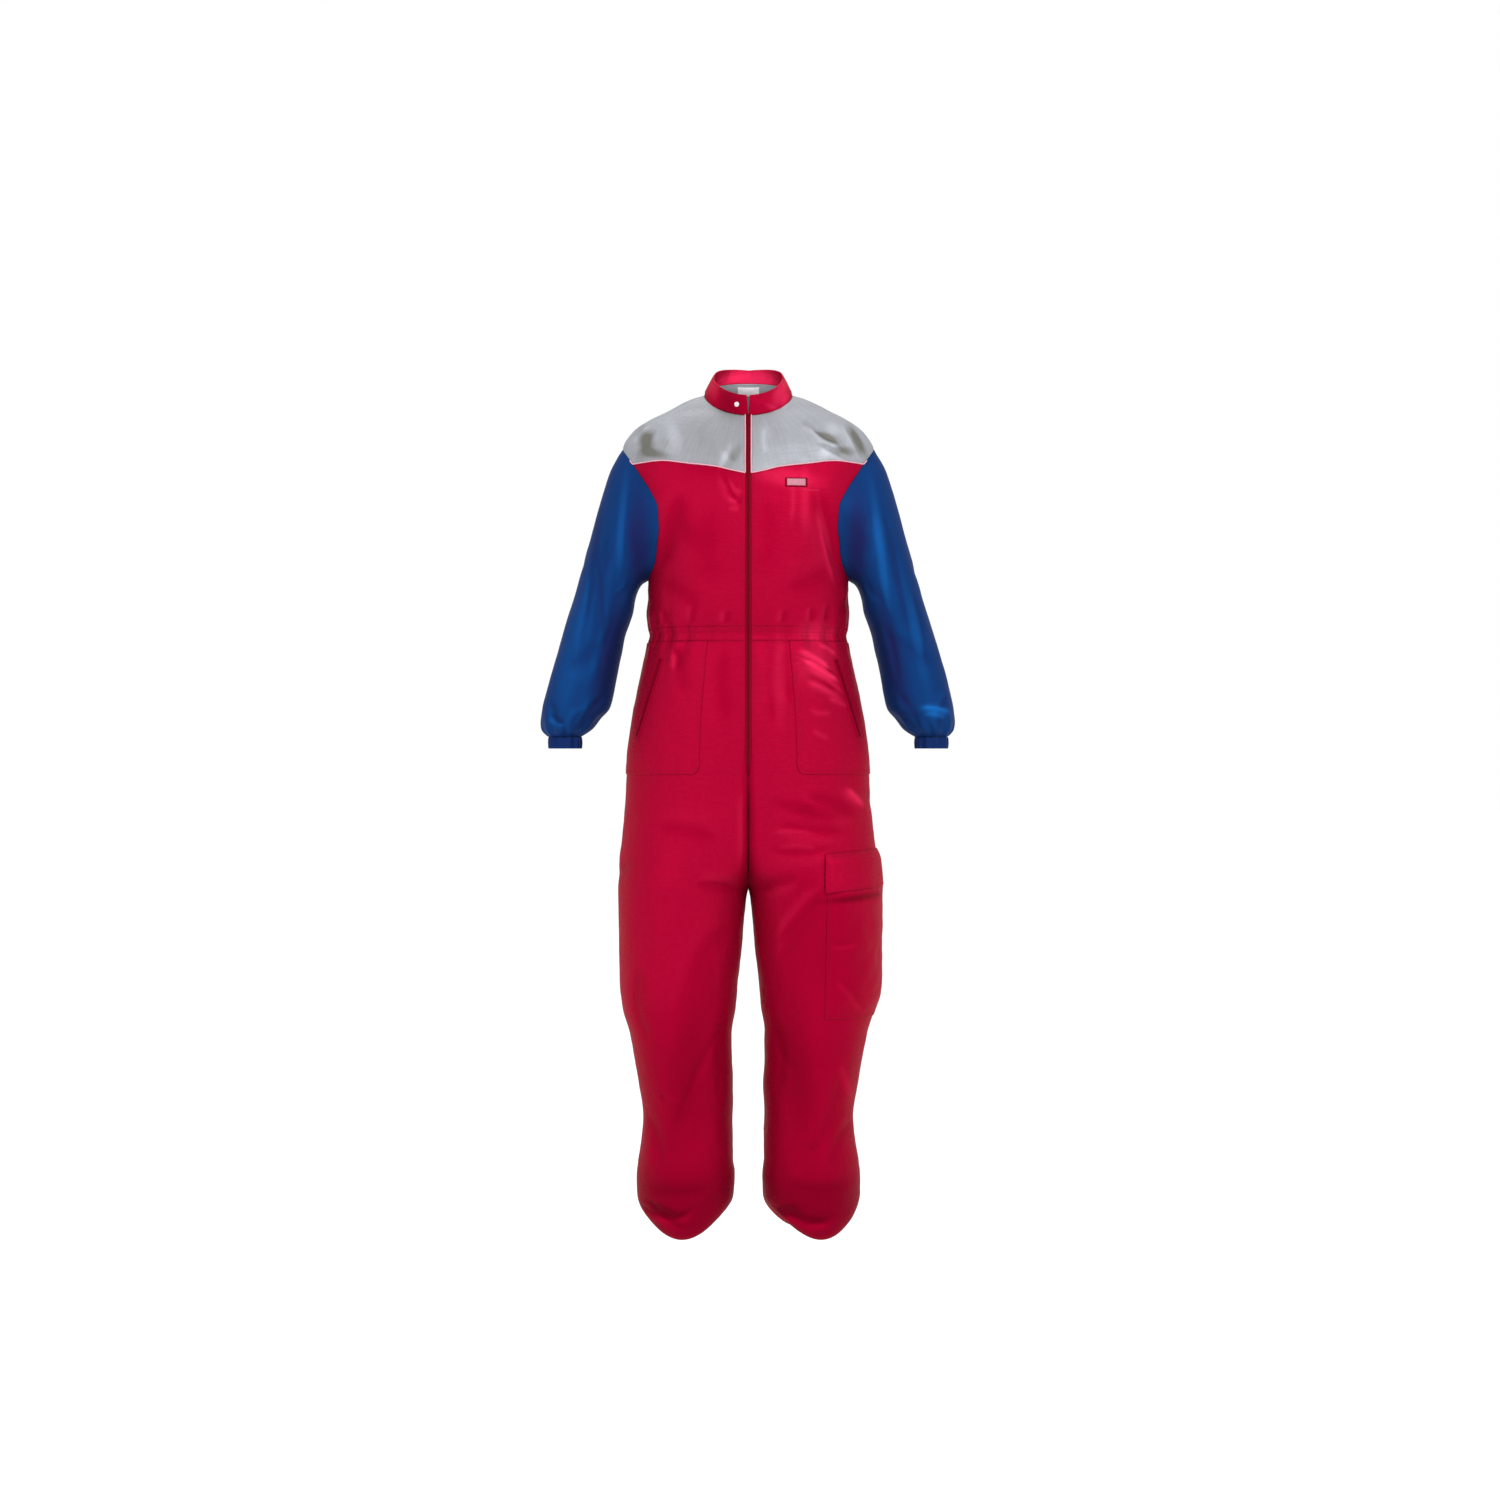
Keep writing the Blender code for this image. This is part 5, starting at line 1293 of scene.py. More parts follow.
def bars(line, normals, pitch, length, width, height, lift, skew=0.0):
    """Small rounded bars along a line on the cloth, as arrays of points and faces."""
    centres = np.arange(pitch / 2, length_of(line), pitch)
    if not len(centres):
        return np.zeros((0, 3)), np.zeros((0, 4), int)
    middle, normal = resampled(line, normals, centres)
    ahead = resampled(line, normals, np.clip(centres + length / 2, 0, length_of(line)))[0]
    tangent = unit(ahead - middle)
    side = unit(np.cross(normal, tangent))
    tangent = unit(tangent + side * skew)
    side = unit(np.cross(normal, tangent))
    points = []
    for along, size in ((-0.5, 0.35), (-0.28, 1.0), (0.28, 1.0), (0.5, 0.35)):
        for corner in range(4):
            angle = math.pi / 4 + corner * math.pi / 2
            across, up = math.cos(angle) * width * size * 0.71, math.sin(angle) * height * size * 0.71
            points.append(middle + tangent * along * length + side * across + normal * (lift + up))
    points = np.stack(points, 1)
    ring = [(4 * i + k, 4 * i + (k + 1) % 4, 4 * i + 4 + (k + 1) % 4, 4 * i + 4 + k)
            for i in range(3) for k in range(4)]
    shape = np.array([*ring, (3, 2, 1, 0), (12, 13, 14, 15)])
    faces = (shape[None] + 16 * np.arange(len(centres))[:, None, None]).reshape(-1, 4)
    return points.reshape(-1, 3), faces


def joined(parts):
    """Arrays of points and faces as one."""
    points, faces, count = [], [], 0
    for some_points, some_faces in parts:
        points.append(some_points)
        faces.append(some_faces + count)
        count += len(some_points)
    return np.concatenate(points), np.concatenate(faces)


def stitching(name, lines, finish):
    """Rows of stitches along lines of points and normals."""
    sewing = settings()[2]
    pitch = sewing.stitch + sewing.stitch_gap
    parts = [bars(line, normals, pitch, sewing.stitch, 2.2 * sewing.thread_radius, 2 * sewing.thread_radius,
                  0.3 * sewing.thread_radius) for line, normals in lines]
    points, faces = joined(parts)
    made = mesh_object(name, points, faces, finish)
    return made


def tube(line, normals, radius, sides=8):
    """A round tube along a line."""
    at = np.arange(0, length_of(line), 0.003)
    middle, normal = resampled(line, normals, np.append(at, length_of(line)))
    tangent = unit(np.gradient(middle, axis=0))
    side = unit(np.cross(normal, tangent))
    up = np.cross(tangent, side)
    angles = np.linspace(0, 2 * math.pi, sides, endpoint=False)
    rings = middle[:, None] + radius * (
        side[:, None] * np.cos(angles)[None, :, None] + up[:, None] * np.sin(angles)[None, :, None])
    faces = grid_faces(len(middle), sides, True)
    return rings.reshape(-1, 3), faces


def on_piece(name, places, inside=False):
    """Points and normals where lines along Y from places (x, z) meet a piece."""
    piece = bpy.data.objects[name]
    vertices, polygons = piece.data.vertices, piece.data.polygons
    tree = BVHTree.FromPolygons([v.co for v in vertices], [p.vertices for p in polygons])
    points, normals = np.zeros(places.shape[:-1] + (3,)), np.zeros(places.shape[:-1] + (3,))
    for index in np.ndindex(places.shape[:-1]):
        x, z = places[index]
        hit, normal, _, _ = tree.ray_cast(Vector((x, 0.0 if inside else -1.0, z)), Vector((0, 1, 0)))
        if hit is None:
            raise ValueError(f"nothing of {name} lies at {x:.3f}, {z:.3f}")
        points[index] = hit
        normals[index] = normal * (1.0 if normal.y < 0 else -1.0)
    return points, normals


# Shader maths.

class Value:
    """A socket whose arithmetic adds Math nodes."""

    def __init__(self, graph, socket):
        self.graph, self.socket = graph, socket

    def math(self, operation, other=None, clamp=False):
        values = [self] if other is None else [self, other]
        return self.graph.node("ShaderNodeMath", {"operation": operation, "use_clamp": clamp}, values)

    def __add__(self, other):
        return self.math("ADD", other)

    def __sub__(self, other):
        return self.math("SUBTRACT", other)

    def __rsub__(self, other):
        return self.graph.node("ShaderNodeMath", {"operation": "SUBTRACT"}, [other, self])

    def __mul__(self, other):
        return self.math("MULTIPLY", other)

    def __pow__(self, other):
        return self.math("POWER", other)

    __radd__ = __add__
    __rmul__ = __mul__


class Graph:
    """The nodes of one material."""

    def __init__(self, name):
        self.material = bpy.data.materials.new(name)
        self.material.use_nodes = True
        self.tree = self.material.node_tree
        self.shader = self.tree.nodes["Principled BSDF"]

    def node(self, kind, chosen=None, values=(), out=0):
        """Adds a node: what is chosen on it first, then its sockets' values or links."""
        made = self.tree.nodes.new(kind)
        for key, value in (chosen or {}).items():
            setattr(made, key, value)
        for key, value in values.items() if isinstance(values, dict) else enumerate(values):
            self.put(made.inputs[key], value)
        return Value(self, made.outputs[out])

    def put(self, socket, value):
        if isinstance(value, Value):
            self.tree.links.new(value.socket, socket)
        else:
            socket.default_value = value

    def mix(self, factor, a, b):
        """One colour into another."""
        chosen = {"data_type": "RGBA", "clamp_factor": True}
        return self.node("ShaderNodeMix", chosen, {0: factor, 6: a, 7: b}, out=2)

    def place(self, kind):
        return self.node("ShaderNodeTexCoord", out=kind)

    def waves(self, place, axis, pitch):
        """Waves along one axis, a pitch apart."""
        along = self.node("ShaderNodeSeparateXYZ", {}, [place], out=axis)
        return (along * (2 * math.pi / pitch)).math("SINE")

    def stretched(self, place, factors):
        return self.node("ShaderNodeVectorMath", {"operation": "MULTIPLY"}, [place, factors])

    def mark(self, name):
        """What is marked at the cloth's points."""
        return self.node("ShaderNodeAttribute", {"attribute_name": name}, out="Fac")

    def noise(self, place, scale, detail=2.0, roughness=0.5):
        values = {"Vector": place, "Scale": scale, "Detail": detail, "Roughness": roughness}
        return self.node("ShaderNodeTexNoise", {}, values, out="Fac")

    def bump(self, height, strength, distance):
        values = {"Strength": strength, "Distance": distance, "Height": height}
        return self.node("ShaderNodeBump", {}, values, out="Normal")

    def finish(self, **sockets):
        for name, value in sockets.items():
            self.put(self.shader.inputs[name.replace("_", " ")], value)
        return self.material


def rgba(colour, factor=1.0):
    return (*[min(1.0, c * factor) for c in colour], 1.0)


def ridged(noise):
    """Sharp valleys where a smooth noise passes its middle."""
    return ((noise - 0.5) * 2.0).math("ABSOLUTE") ** 0.7


def nylon(name, colour, deep, pale, roughness=0.52, metallic=0.4, crinkle=1.0, streak=0.16,
          drawn=(80.0, 9.0)):
    """Thin plain-woven nylon: a fine weave, a satin sheen, small crinkles, and painted shade and painted
    highlights mixed into its colour.
    """
    graph = Graph(name)
    place, seam, shade = graph.place("UV"), graph.mark("seam"), graph.mark("shade")
    pitch = settings()[0].weave_pitch
    weave = graph.waves(place, "X", pitch) * graph.waves(place, "Y", pitch)
    patches = graph.noise(place, 6.0, 3.0, 0.55)
    fine = graph.noise(place, 110.0, 4.0, 0.62)
    streaks = graph.noise(graph.stretched(place, (*drawn, 1.0)), 1.0, 4.0, 0.62)
    folds = ridged(graph.noise(graph.stretched(place, (20.0, 80.0, 1.0)), 1.0, 3.0, 0.55))
    crumple = ridged(graph.noise(place, 21.0, 3.0, 0.6))
    toned = graph.mix(patches * 0.45, rgba(colour), rgba(colour, 0.80))
    toned = graph.mix(streaks * streak, toned, rgba(deep))
    # Painted shade: the shade mark below 0 and the nearness of a seam mix in the shaded colour.
    toned = graph.mix((shade * -0.62).math("ADD", seam * 0.12, True), toned, rgba(deep))
    # Painted highlight: the shade mark above 0 mixes in the highlight colour, with faint random flecks of it.
    lit = graph.mix((shade * 0.55).math("ADD", fine * 0.10, True), toned, rgba(pale))
    height = fine * 0.26 + streaks * 0.45 + folds * 0.42 + crumple * 0.30
    bump = graph.bump(height + weave * 0.012, 0.55 * crinkle, 0.0016)
    rough = roughness + (fine - 0.5) * 0.16 + seam * 0.05
    return graph.finish(
        Base_Color=lit, Roughness=rough, Metallic=metallic, Normal=bump, Specular_IOR_Level=0.10,
        Specular_Tint=rgba(pale), Sheen_Weight=0.02, Sheen_Tint=rgba(pale))


def woven_trim(name, colour, pitch):
    """A close-woven tape or label with ribs across it."""
    graph = Graph(name)
    place = graph.place("Object")
    ribs = graph.waves(place, "X", pitch) * graph.waves(place, "Z", pitch)
    patches = graph.noise(place, 140.0, 3.0, 0.6)
    toned = graph.mix(patches * 0.8, rgba(colour), rgba(colour, 0.7))
    return graph.finish(Base_Color=toned, Roughness=0.6 + patches * 0.12, Specular_IOR_Level=0.04,
                        Normal=graph.bump(ribs * 0.3 + patches * 0.3, 0.35, 0.0003))


def plain_thread(name, colour):
    """Twisted thread."""
    graph = Graph(name)
    twist = graph.noise(graph.place("Object"), 900.0)
    toned = graph.mix(twist, rgba(colour, 0.8), rgba(colour, 1.25))
    return graph.finish(Base_Color=toned, Roughness=0.5 + twist * 0.15, Specular_IOR_Level=0.08)


def moulded(name, colour, roughness, specular):
    """Moulded plastic with faint wear."""
    graph = Graph(name)
    wear = graph.noise(graph.place("Object"), 300.0, 3.0, 0.6)
    toned = graph.mix(wear * 0.5, rgba(colour), rgba(colour, 0.8))
    return graph.finish(Base_Color=toned, Roughness=roughness + wear * 0.12, Specular_IOR_Level=specular,
                        Normal=graph.bump(wear, 0.15, 0.0002))


@functools.cache
def finishes():
    """Every finish by name."""
    colours = settings()[1]
    return {
        "red": nylon("red nylon", colours.red, colours.shaded_red, colours.highlight_red, crinkle=1.2),
        "silver": nylon("silver nylon", colours.silver, colours.shaded_silver, colours.highlight_silver,
                        0.44, 0.20, 1.5, 0.50, (210.0, 15.0)),
        "blue": nylon("blue nylon", colours.blue, colours.shaded_blue, colours.highlight_blue,
                      0.54, 0.35, 0.9, 0.40),
        "tape": woven_trim("zip tape", colours.zip_tape, 0.0009),
        "teeth": moulded("zip teeth", colours.zip_teeth, 0.50, 0.03),
        "red_thread": plain_thread("red thread", colours.red_thread),
        "blue_thread": plain_thread("blue thread", colours.blue_thread),
        "pale_thread": plain_thread("pale thread", colours.pale_thread),
        "piping": woven_trim("piping", colours.piping, 0.0008),
        "label": woven_trim("woven label", colours.label, 0.0007),
        "border": woven_trim("label border", colours.zip_tape, 0.0007),
        "field": woven_trim("label field", colours.field, 0.0007),
        "pearl": moulded("pearl cap", colours.pearl, 0.25, 0.5),
    }


# The pieces.

def panel(name, region, seams, finish):
    base = forms()[name]
    points, shade = relieved(base, region)
    return cloth(name + "_cloth", points, seams, finishes()[finish], [name], base.ring,
                 out=base.out, shade=shade)


def red_sewing(name, rows):
    """Sews the red cloth along the rows, and ends an operator."""
    stitching(name, rows, finishes()["red_thread"])
    return {"FINISHED"}


class SUIT_OT_upper_body(bpy.types.Operator):
    """Builds the two fronts and the back."""

    bl_idname = "suit.upper_body"
    bl_label = "Upper body"

    def execute(self, context):
        for side in ("left", "right"):
            panel("front_" + side, "body", "left right bottom top", "red")
        panel("back", "body", "left right bottom top", "red")
        back = SHAPED["back_cloth"]
        rows = [inset(back, "top", SEWING_IN)]
        for side in ("left", "right"):
            points = SHAPED[f"front_{side}_cloth"]
            rows += [inset(points, side, ZIP_SEWING_IN), inset(points, "top", SEWING_IN)]
        for side in ("left", "right"):
            rows.append(inset(SHAPED[f"front_{side}_cloth"], OTHER_SIDE[side], SEWING_IN, ARMHOLE_STARTS))
        rows += [inset(back, side, SEWING_IN, ARMHOLE_STARTS) for side in ("left", "right")]
        return red_sewing("upper_body_stitching", rows)


class SUIT_OT_yoke(bpy.types.Operator):
    """Builds the silver yoke and the pale piping in its seam."""

    bl_idname = "suit.yoke"
    bl_label = "Yoke"

    def execute(self, context):
        for side in ("left", "right"):
            panel("yoke_front_" + side, "body", "left right bottom top", "silver")
        panel("yoke_back", "body", "left right bottom top", "silver")
        radius = settings()[2].piping_radius
        lines = []
        # The piping stops at the armholes, which take up the last part of a yoke's lower edge.
        for side, start, end in (("left", 0.0, 0.86), ("right", 0.14, 1.0)):
            points = SHAPED[f"yoke_front_{side}_cloth"]
            lines += [inset(points, "bottom", PIPING_IN, start, end), inset(points, side, PIPING_IN)]
        lines.append(inset(SHAPED["yoke_back_cloth"], "bottom", PIPING_IN, 0.07, 0.93))
        parts = [tube(line + normals * PIPING_LIFT, normals, radius) for line, normals in lines]
        made = mesh_object("yoke_piping", *joined(parts), finishes()["piping"])
        return {"FINISHED"}


class SUIT_OT_sleeves(bpy.types.Operator):
    """Builds the sleeves and their elastic cuffs."""

    bl_idname = "suit.sleeves"
    bl_label = "Sleeves"

    def execute(self, context):
        rows = []
        for side in ("left", "right"):
            panel("sleeve_" + side, "sleeves", "bottom top", "blue")
            base = forms()["cuff_" + side]
            # The cuffs get painted shade from the listed spots.
            cloth(f"cuff_{side}_cloth", base.points, "bottom", finishes()["blue"],
                  ["cuff_" + side], True, shade=painted_light_and_shade(base.points, base.out))
            points = SHAPED[f"cuff_{side}_cloth"]
            rows.append(inset(points, "bottom", SEWING_IN, ring=True))
            rows.append(inset(points, "top", CUFF_END_SEWING_IN, ring=True))
        stitching("cuff_stitching", rows, finishes()["blue_thread"])
        return {"FINISHED"}


class SUIT_OT_waistband(bpy.types.Operator):
    """Builds the elastic waistband."""

    bl_idname = "suit.waistband"
    bl_label = "Waistband"

    def execute(self, context):
        panel("waistband", "body", "left right bottom top", "red")
        points = SHAPED["waistband_cloth"]
        rows = [inset(points, edge, distance) for edge in ("bottom", "top") for distance in WAIST_SEWING_IN]
        return red_sewing("waistband_stitching", rows)


class SUIT_OT_trousers(bpy.types.Operator):
    """Builds the legs and their elastic hems."""

    bl_idname = "suit.trousers"
    bl_label = "Trousers"

    def execute(self, context):
        rows = []
        for side in ("left", "right"):
            for face in ("front", "back"):
                panel(f"leg_{face}_{side}", "legs", "left right top", "red")
            base = forms()["hem_" + side]
            cloth(f"hem_{side}_cloth", base.points, "top", finishes()["red"],
                  ["hem_" + side], True)
            rows.append(inset(SHAPED[f"hem_{side}_cloth"], "top", SEWING_IN, ring=True))
            rows.append(inset(SHAPED[f"leg_front_{side}_cloth"], side, ZIP_SEWING_IN, *FLY_SEWING))
            for face in ("front", "back"):
                rows.append(inset(SHAPED[f"leg_{face}_{side}_cloth"], "top", SEWING_IN))
        return red_sewing("trouser_stitching", rows)


class SUIT_OT_collar(bpy.types.Operator):
    """Builds the stand collar and its snap."""

    bl_idname = "suit.collar"
    bl_label = "Collar"

    def execute(self, context):
        base = forms()["collar"]
        uneven = 0.0010 * lumps(base.points, 0.020, 7) + 0.0005 * lumps(base.points * [1, 1, 0.6], 0.008, 9)
        rise = eased(from_edges(base.points, False)["bottom"] / 0.010)
        points = base.points + base.out * (uneven * rise)[..., None]
        # The collar gets painted shade and painted highlights from the listed spots.
        cloth("collar_cloth", points, "bottom", finishes()["red"], ["collar"],
              thickness=DOUBLE_CLOTH, out=base.out, shade=painted_light_and_shade(points, base.out))
        points = SHAPED["collar_cloth"]
        rows = [inset(points, edge, COLLAR_SEWING_IN) for edge in ("top", "bottom")]
        rows += [inset(points, edge, COLLAR_END_SEWING_IN) for edge in ("left", "right")]
        red_sewing("collar_stitching", rows)
        self.snap()
        return {"FINISHED"}

    def snap(self):
        """The cap of the snap: a domed disc with a ring pressed round its edge."""
        profile = Sections(("run", "r", "h"), [
            (0.0, 0.0, 0.0021), (0.30, 0.0022, 0.0019), (0.52, 0.0031, 0.0013), (0.60, 0.0034, 0.0015),
            (0.74, 0.0039, 0.0017), (0.86, SNAP_RADIUS, 0.0011), (1.0, SNAP_RADIUS, -0.0002),
        ])
        point, normal = on_piece("collar_cloth", np.array([[SNAP_X, SNAP_Z]]))
        run, angle = np.meshgrid(np.linspace(1, 0.02, 22), np.radians(np.arange(0, 360, 9)), indexing="ij")
        side = unit(np.cross(normal[0], [0, 0, 1]))
        up = np.cross(side, normal[0])
        r, h = profile.read("r", run)[..., None], profile.read("h", run)[..., None]
        spoke = side * np.cos(angle)[..., None] + up * np.sin(angle)[..., None]
        points = point[0] + r * spoke + normal[0] * h
        rows, columns = run.shape
        below = list(range(columns))[::-1]
        above = list(range((rows - 1) * columns, rows * columns))
        faces = grid_faces(rows, columns, True).tolist() + [above, below]
        made = mesh_object("collar_snap_cap", points.reshape(-1, 3), faces, finishes()["pearl"])
        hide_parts("collar_snap")


TOOTH_LENGTH, TOOTH_SIZE, TOOTH_SHIFT = 0.0028, 0.0012, 0.0007


def zip_teeth(line, normals, lift):
    """Two rows of small teeth that mesh along a zip."""
    pitch = settings()[2].tooth_pitch
    side = unit(np.cross(normals, np.gradient(line, axis=0)))
    parts = []
    for way in (-1.0, 1.0):
        shifted = line + side * way * TOOTH_SHIFT
        at = np.arange(pitch * (0.5 if way > 0 else 1.0), length_of(shifted), pitch)
        middle, normal = resampled(shifted, normals, at)
        across = unit(np.cross(normal, np.gradient(middle, axis=0)))
        for tooth, out, sideways in zip(middle, normal, across):
            ends = tooth + np.array([[-0.5], [0.5]]) * sideways * TOOTH_LENGTH
            outs = np.array([out, out])
            parts.append(bars(ends, outs, TOOTH_LENGTH, TOOTH_LENGTH, TOOTH_SIZE, TOOTH_SIZE, lift))
    return joined(parts)


class SUIT_OT_front_zip(bpy.types.Operator):
    """Builds the front zip's tape and teeth."""

    bl_idname = "suit.front_zip"
    bl_label = "Front zip"

    def execute(self, context):
        edges = {}
        for side, column in (("left", 0), ("right", -1)):
            leg_edge = SHAPED[f"leg_front_{side}_cloth"][:, column]
            start = np.flatnonzero(leg_edge[:, 2] > ZIP_TIP - 1e-4)[0]
            band = SHAPED["waistband_cloth"][:, 0 if side == "left" else -1]
            edges[side] = np.vstack([
                leg_edge[start:], band[1:], SHAPED[f"front_{side}_cloth"][1:, column],
                SHAPED[f"yoke_front_{side}_cloth"][1:, column],
            ])
        heights = np.linspace(edges["left"][0, 2], edges["left"][-1, 2], ZIP_ROWS)
        left, right = [read_along(heights, edge[:, 2], edge) for edge in edges.values()]
        across = np.linspace(-ZIP_OVERLAP, 1 + ZIP_OVERLAP, ZIP_COLUMNS)[None, :, None]
        points = mixed(right[:, None], left[:, None], across)
        profile = 0.0002 + 0.0007 * (1 - (2 * np.abs(across[0, :, 0] - 0.5)) ** 2)
        normals = normals_of(points)
        points = points + normals * profile[None, :, None] - normals * 0.0004
        cloth("front_zip_tape", points, "", finishes()["tape"], ["front_zip"], thickness=TAPE)
        middle = ZIP_COLUMNS // 2
        rows = zip_teeth(points[:, middle], normals[:, middle], 0.0004)
        teeth = mesh_object("front_zip_teeth", *rows, finishes()["teeth"])
        return {"FINISHED"}


def leg_patch(side, u, z):
    """Points of the front of a leg with its creases, for a piece that lies on it, and the painted light and
    shade in its colour.
    """
    turn = leg_turns("front", z, u)
    base = Base(*leg(turn, z), u, False)
    return relieved(base if side == "left" else flipped(base), "legs")


class SUIT_OT_hip_pockets(bpy.types.Operator):
    """Builds the patch pockets on the hips and their slanted zips."""

    bl_idname = "suit.hip_pockets"
    bl_label = "Hip pockets"

    def execute(self, context):
        rows = []
        for side in ("left", "right"):
            z, u = np.meshgrid(mixed(ZIP_TIP, WAIST_BOTTOM, shares(POCKET_SPAN[1], POCKET_STEP)),
                               mixed(POCKET_START, 1.0, shares(POCKET_SPAN[0], POCKET_STEP)), indexing="ij")
            # The lower inner corner is cut off slantwise.
            near_inner = np.clip(1 - (u - POCKET_START) / HIP_CORNER_SHARE, 0, 1)
            corner = near_inner * np.clip(1 - (z - ZIP_TIP) / HIP_CORNER_HEIGHT, 0, 1)
            z, u = z + corner * HIP_CORNER_UP, u + corner * HIP_CORNER_IN
            points, shade = leg_patch(side, u, z)
            edges = from_edges(points, False)
            lift = HIP_POCKET_LIFT * eased(np.minimum(edges[side], edges["bottom"]) / HIP_POCKET_TURN)
            points = points + normals_of(points) * (LIFT_OFF + lift)[..., None]
            cloth(f"hip_pocket_{side}_cloth", points, "top " + OTHER_SIDE[side], finishes()["red"],
                  ["hip_pocket_" + side], shade=shade)
            for distance in POCKET_SEWING_IN:
                rows += [inset(points, side, distance), inset(points, "bottom", distance)]
            rows += self.pocket_zip(side)
        return red_sewing("hip_pocket_stitching", rows)

    def pocket_zip(self, side):
        """One slanted zip, sunk between two folded edges. It gives the lines sewn round it."""
        way = 1.0 if side == "left" else -1.0
        low, high = np.array(POCKET_ZIP_LOW) * [way, 1], np.array(POCKET_ZIP_HIGH) * [way, 1]
        run = unit(high - low)
        across = np.array([run[1], -run[0]])

        def laid(along, beside):
            """Points and normals on the pocket from places along the zip and beside it, in its widths."""
            along, beside = np.broadcast_arrays(along, beside)
            places = low + (high - low) * along[..., None] + across * POCKET_ZIP_WIDTH * beside[..., None]
            return on_piece(f"hip_pocket_{side}_cloth", places)

        v, w = np.meshgrid(np.linspace(0, 1, 48), np.linspace(-0.5, 0.5, 9), indexing="ij")
        points, normals = laid(v, w)
        profile = 0.0004 + 0.0013 * np.abs(np.sin(2 * math.pi * w)) ** 0.8
        tape = points + normals * profile[..., None]
        # Painted shade darkens the tape a little all over and most along the groove in which the zip sinks.
        cloth(f"pocket_zip_{side}_tape", tape, "", finishes()["red"], ["pocket_zip_" + side],
              thickness=THIN_TAPE, shade=-1.6 * np.exp(-((w / 0.22) ** 2)) - 0.2)
        line = points[:, 4], normals[:, 4]
        teeth = mesh_object(f"pocket_zip_{side}_teeth", *zip_teeth(*line, 0.0006), finishes()["teeth"])
        far = POCKET_ZIP_SEWING
        lines = [laid(np.linspace(-0.02, 1.02, 40), beside) for beside in (-far, far)]
        return lines + [laid(end, np.linspace(-far, far, 8)) for end in (-0.03, 1.03)]


def thigh_patch(low, high, widen, columns, rows, tilt=0.0):
    """A grid over the outer side of the left thigh with its creases, the painted light and shade in its
    colour, and u and v over it.
    """
    u, v = np.meshgrid(shares(CARGO_SPAN, CARGO_SPAN / columns), shares(high - low, (high - low) / rows))
    z = mixed(low, high, v)
    share = np.clip((z - CARGO_BOTTOM) / (CARGO_TOP - CARGO_BOTTOM), 0, 1.2)
    first = leg_turn(mixed(*CARGO_FRONT_X, share) - widen, z)
    last = leg_turn(mixed(*CARGO_BACK_X, share) - widen, z, True)
    turn = mixed(first, last, u)
    z = z + tilt * np.sin(np.radians(np.clip(turn, 0, 180)))
    return *relieved(Base(*leg(turn, z), 0 * u, False), "legs"), u, v


class SUIT_OT_cargo_pocket(bpy.types.Operator):
    """Builds the cargo pocket on the left thigh and its flap."""

    bl_idname = "suit.cargo_pocket"
    bl_label = "Cargo pocket"

    def execute(self, context):
        points, shade, u, v = thigh_patch(CARGO_BOTTOM, CARGO_TOP, 0.0, 60, 84)
        across = eased(np.minimum(u, 1 - u) / CARGO_SIDE_SHARE)
        up = eased(np.minimum(v, 1 - v) / CARGO_END_SHARE)
        slack = 0.0016 * lumps(points * [1, 1, 1.6], 0.045, 13) + 0.0008 * lumps(points, 0.018, 17)
        puff = CARGO_PUFF * across * up + slack * across * up
        edge = CARGO_EDGE * eased(np.minimum.reduce([u, 1 - u, v * 1.4, (1 - v) * 1.4]) / CARGO_TURN)
        points = points + normals_of(points) * (puff + edge + CARGO_LIFT)[..., None]
        cloth("cargo_pocket_cloth", points, "", finishes()["red"], ["cargo_pocket"], shade=shade)
        sides = ("left", "right", "bottom")
        rows = [inset(points, side, distance) for side in sides for distance in CARGO_SEWING_IN]

        points, _, u, v = thigh_patch(FLAP_BOTTOM, FLAP_TOP, FLAP_OVERHANG, 64, 26, FLAP_TILT)
        climb = np.sin(np.clip((1 - v) / FLAP_RISE_SHARE, 0, 1) * math.pi / 2)
        sag = 0.0008 * lumps(points, 0.030, 19) * climb
        across = eased(np.minimum(u, 1 - u) / 0.05)
        lift = FLAP_LIFT + (CARGO_PUFF + FLAP_OVER_POCKET) * climb * (0.55 + 0.45 * across) + sag
        points = points + normals_of(points) * lift[..., None]
        cloth("cargo_flap_cloth", points, "top", finishes()["red"], ["cargo_flap"],
              thickness=DOUBLE_CLOTH)
        rows += [inset(points, side, SEWING_IN) for side in sides]
        rows += [inset(points, "top", distance) for distance in FLAP_TOP_SEWING_IN]
        return red_sewing("cargo_pocket_stitching", rows)


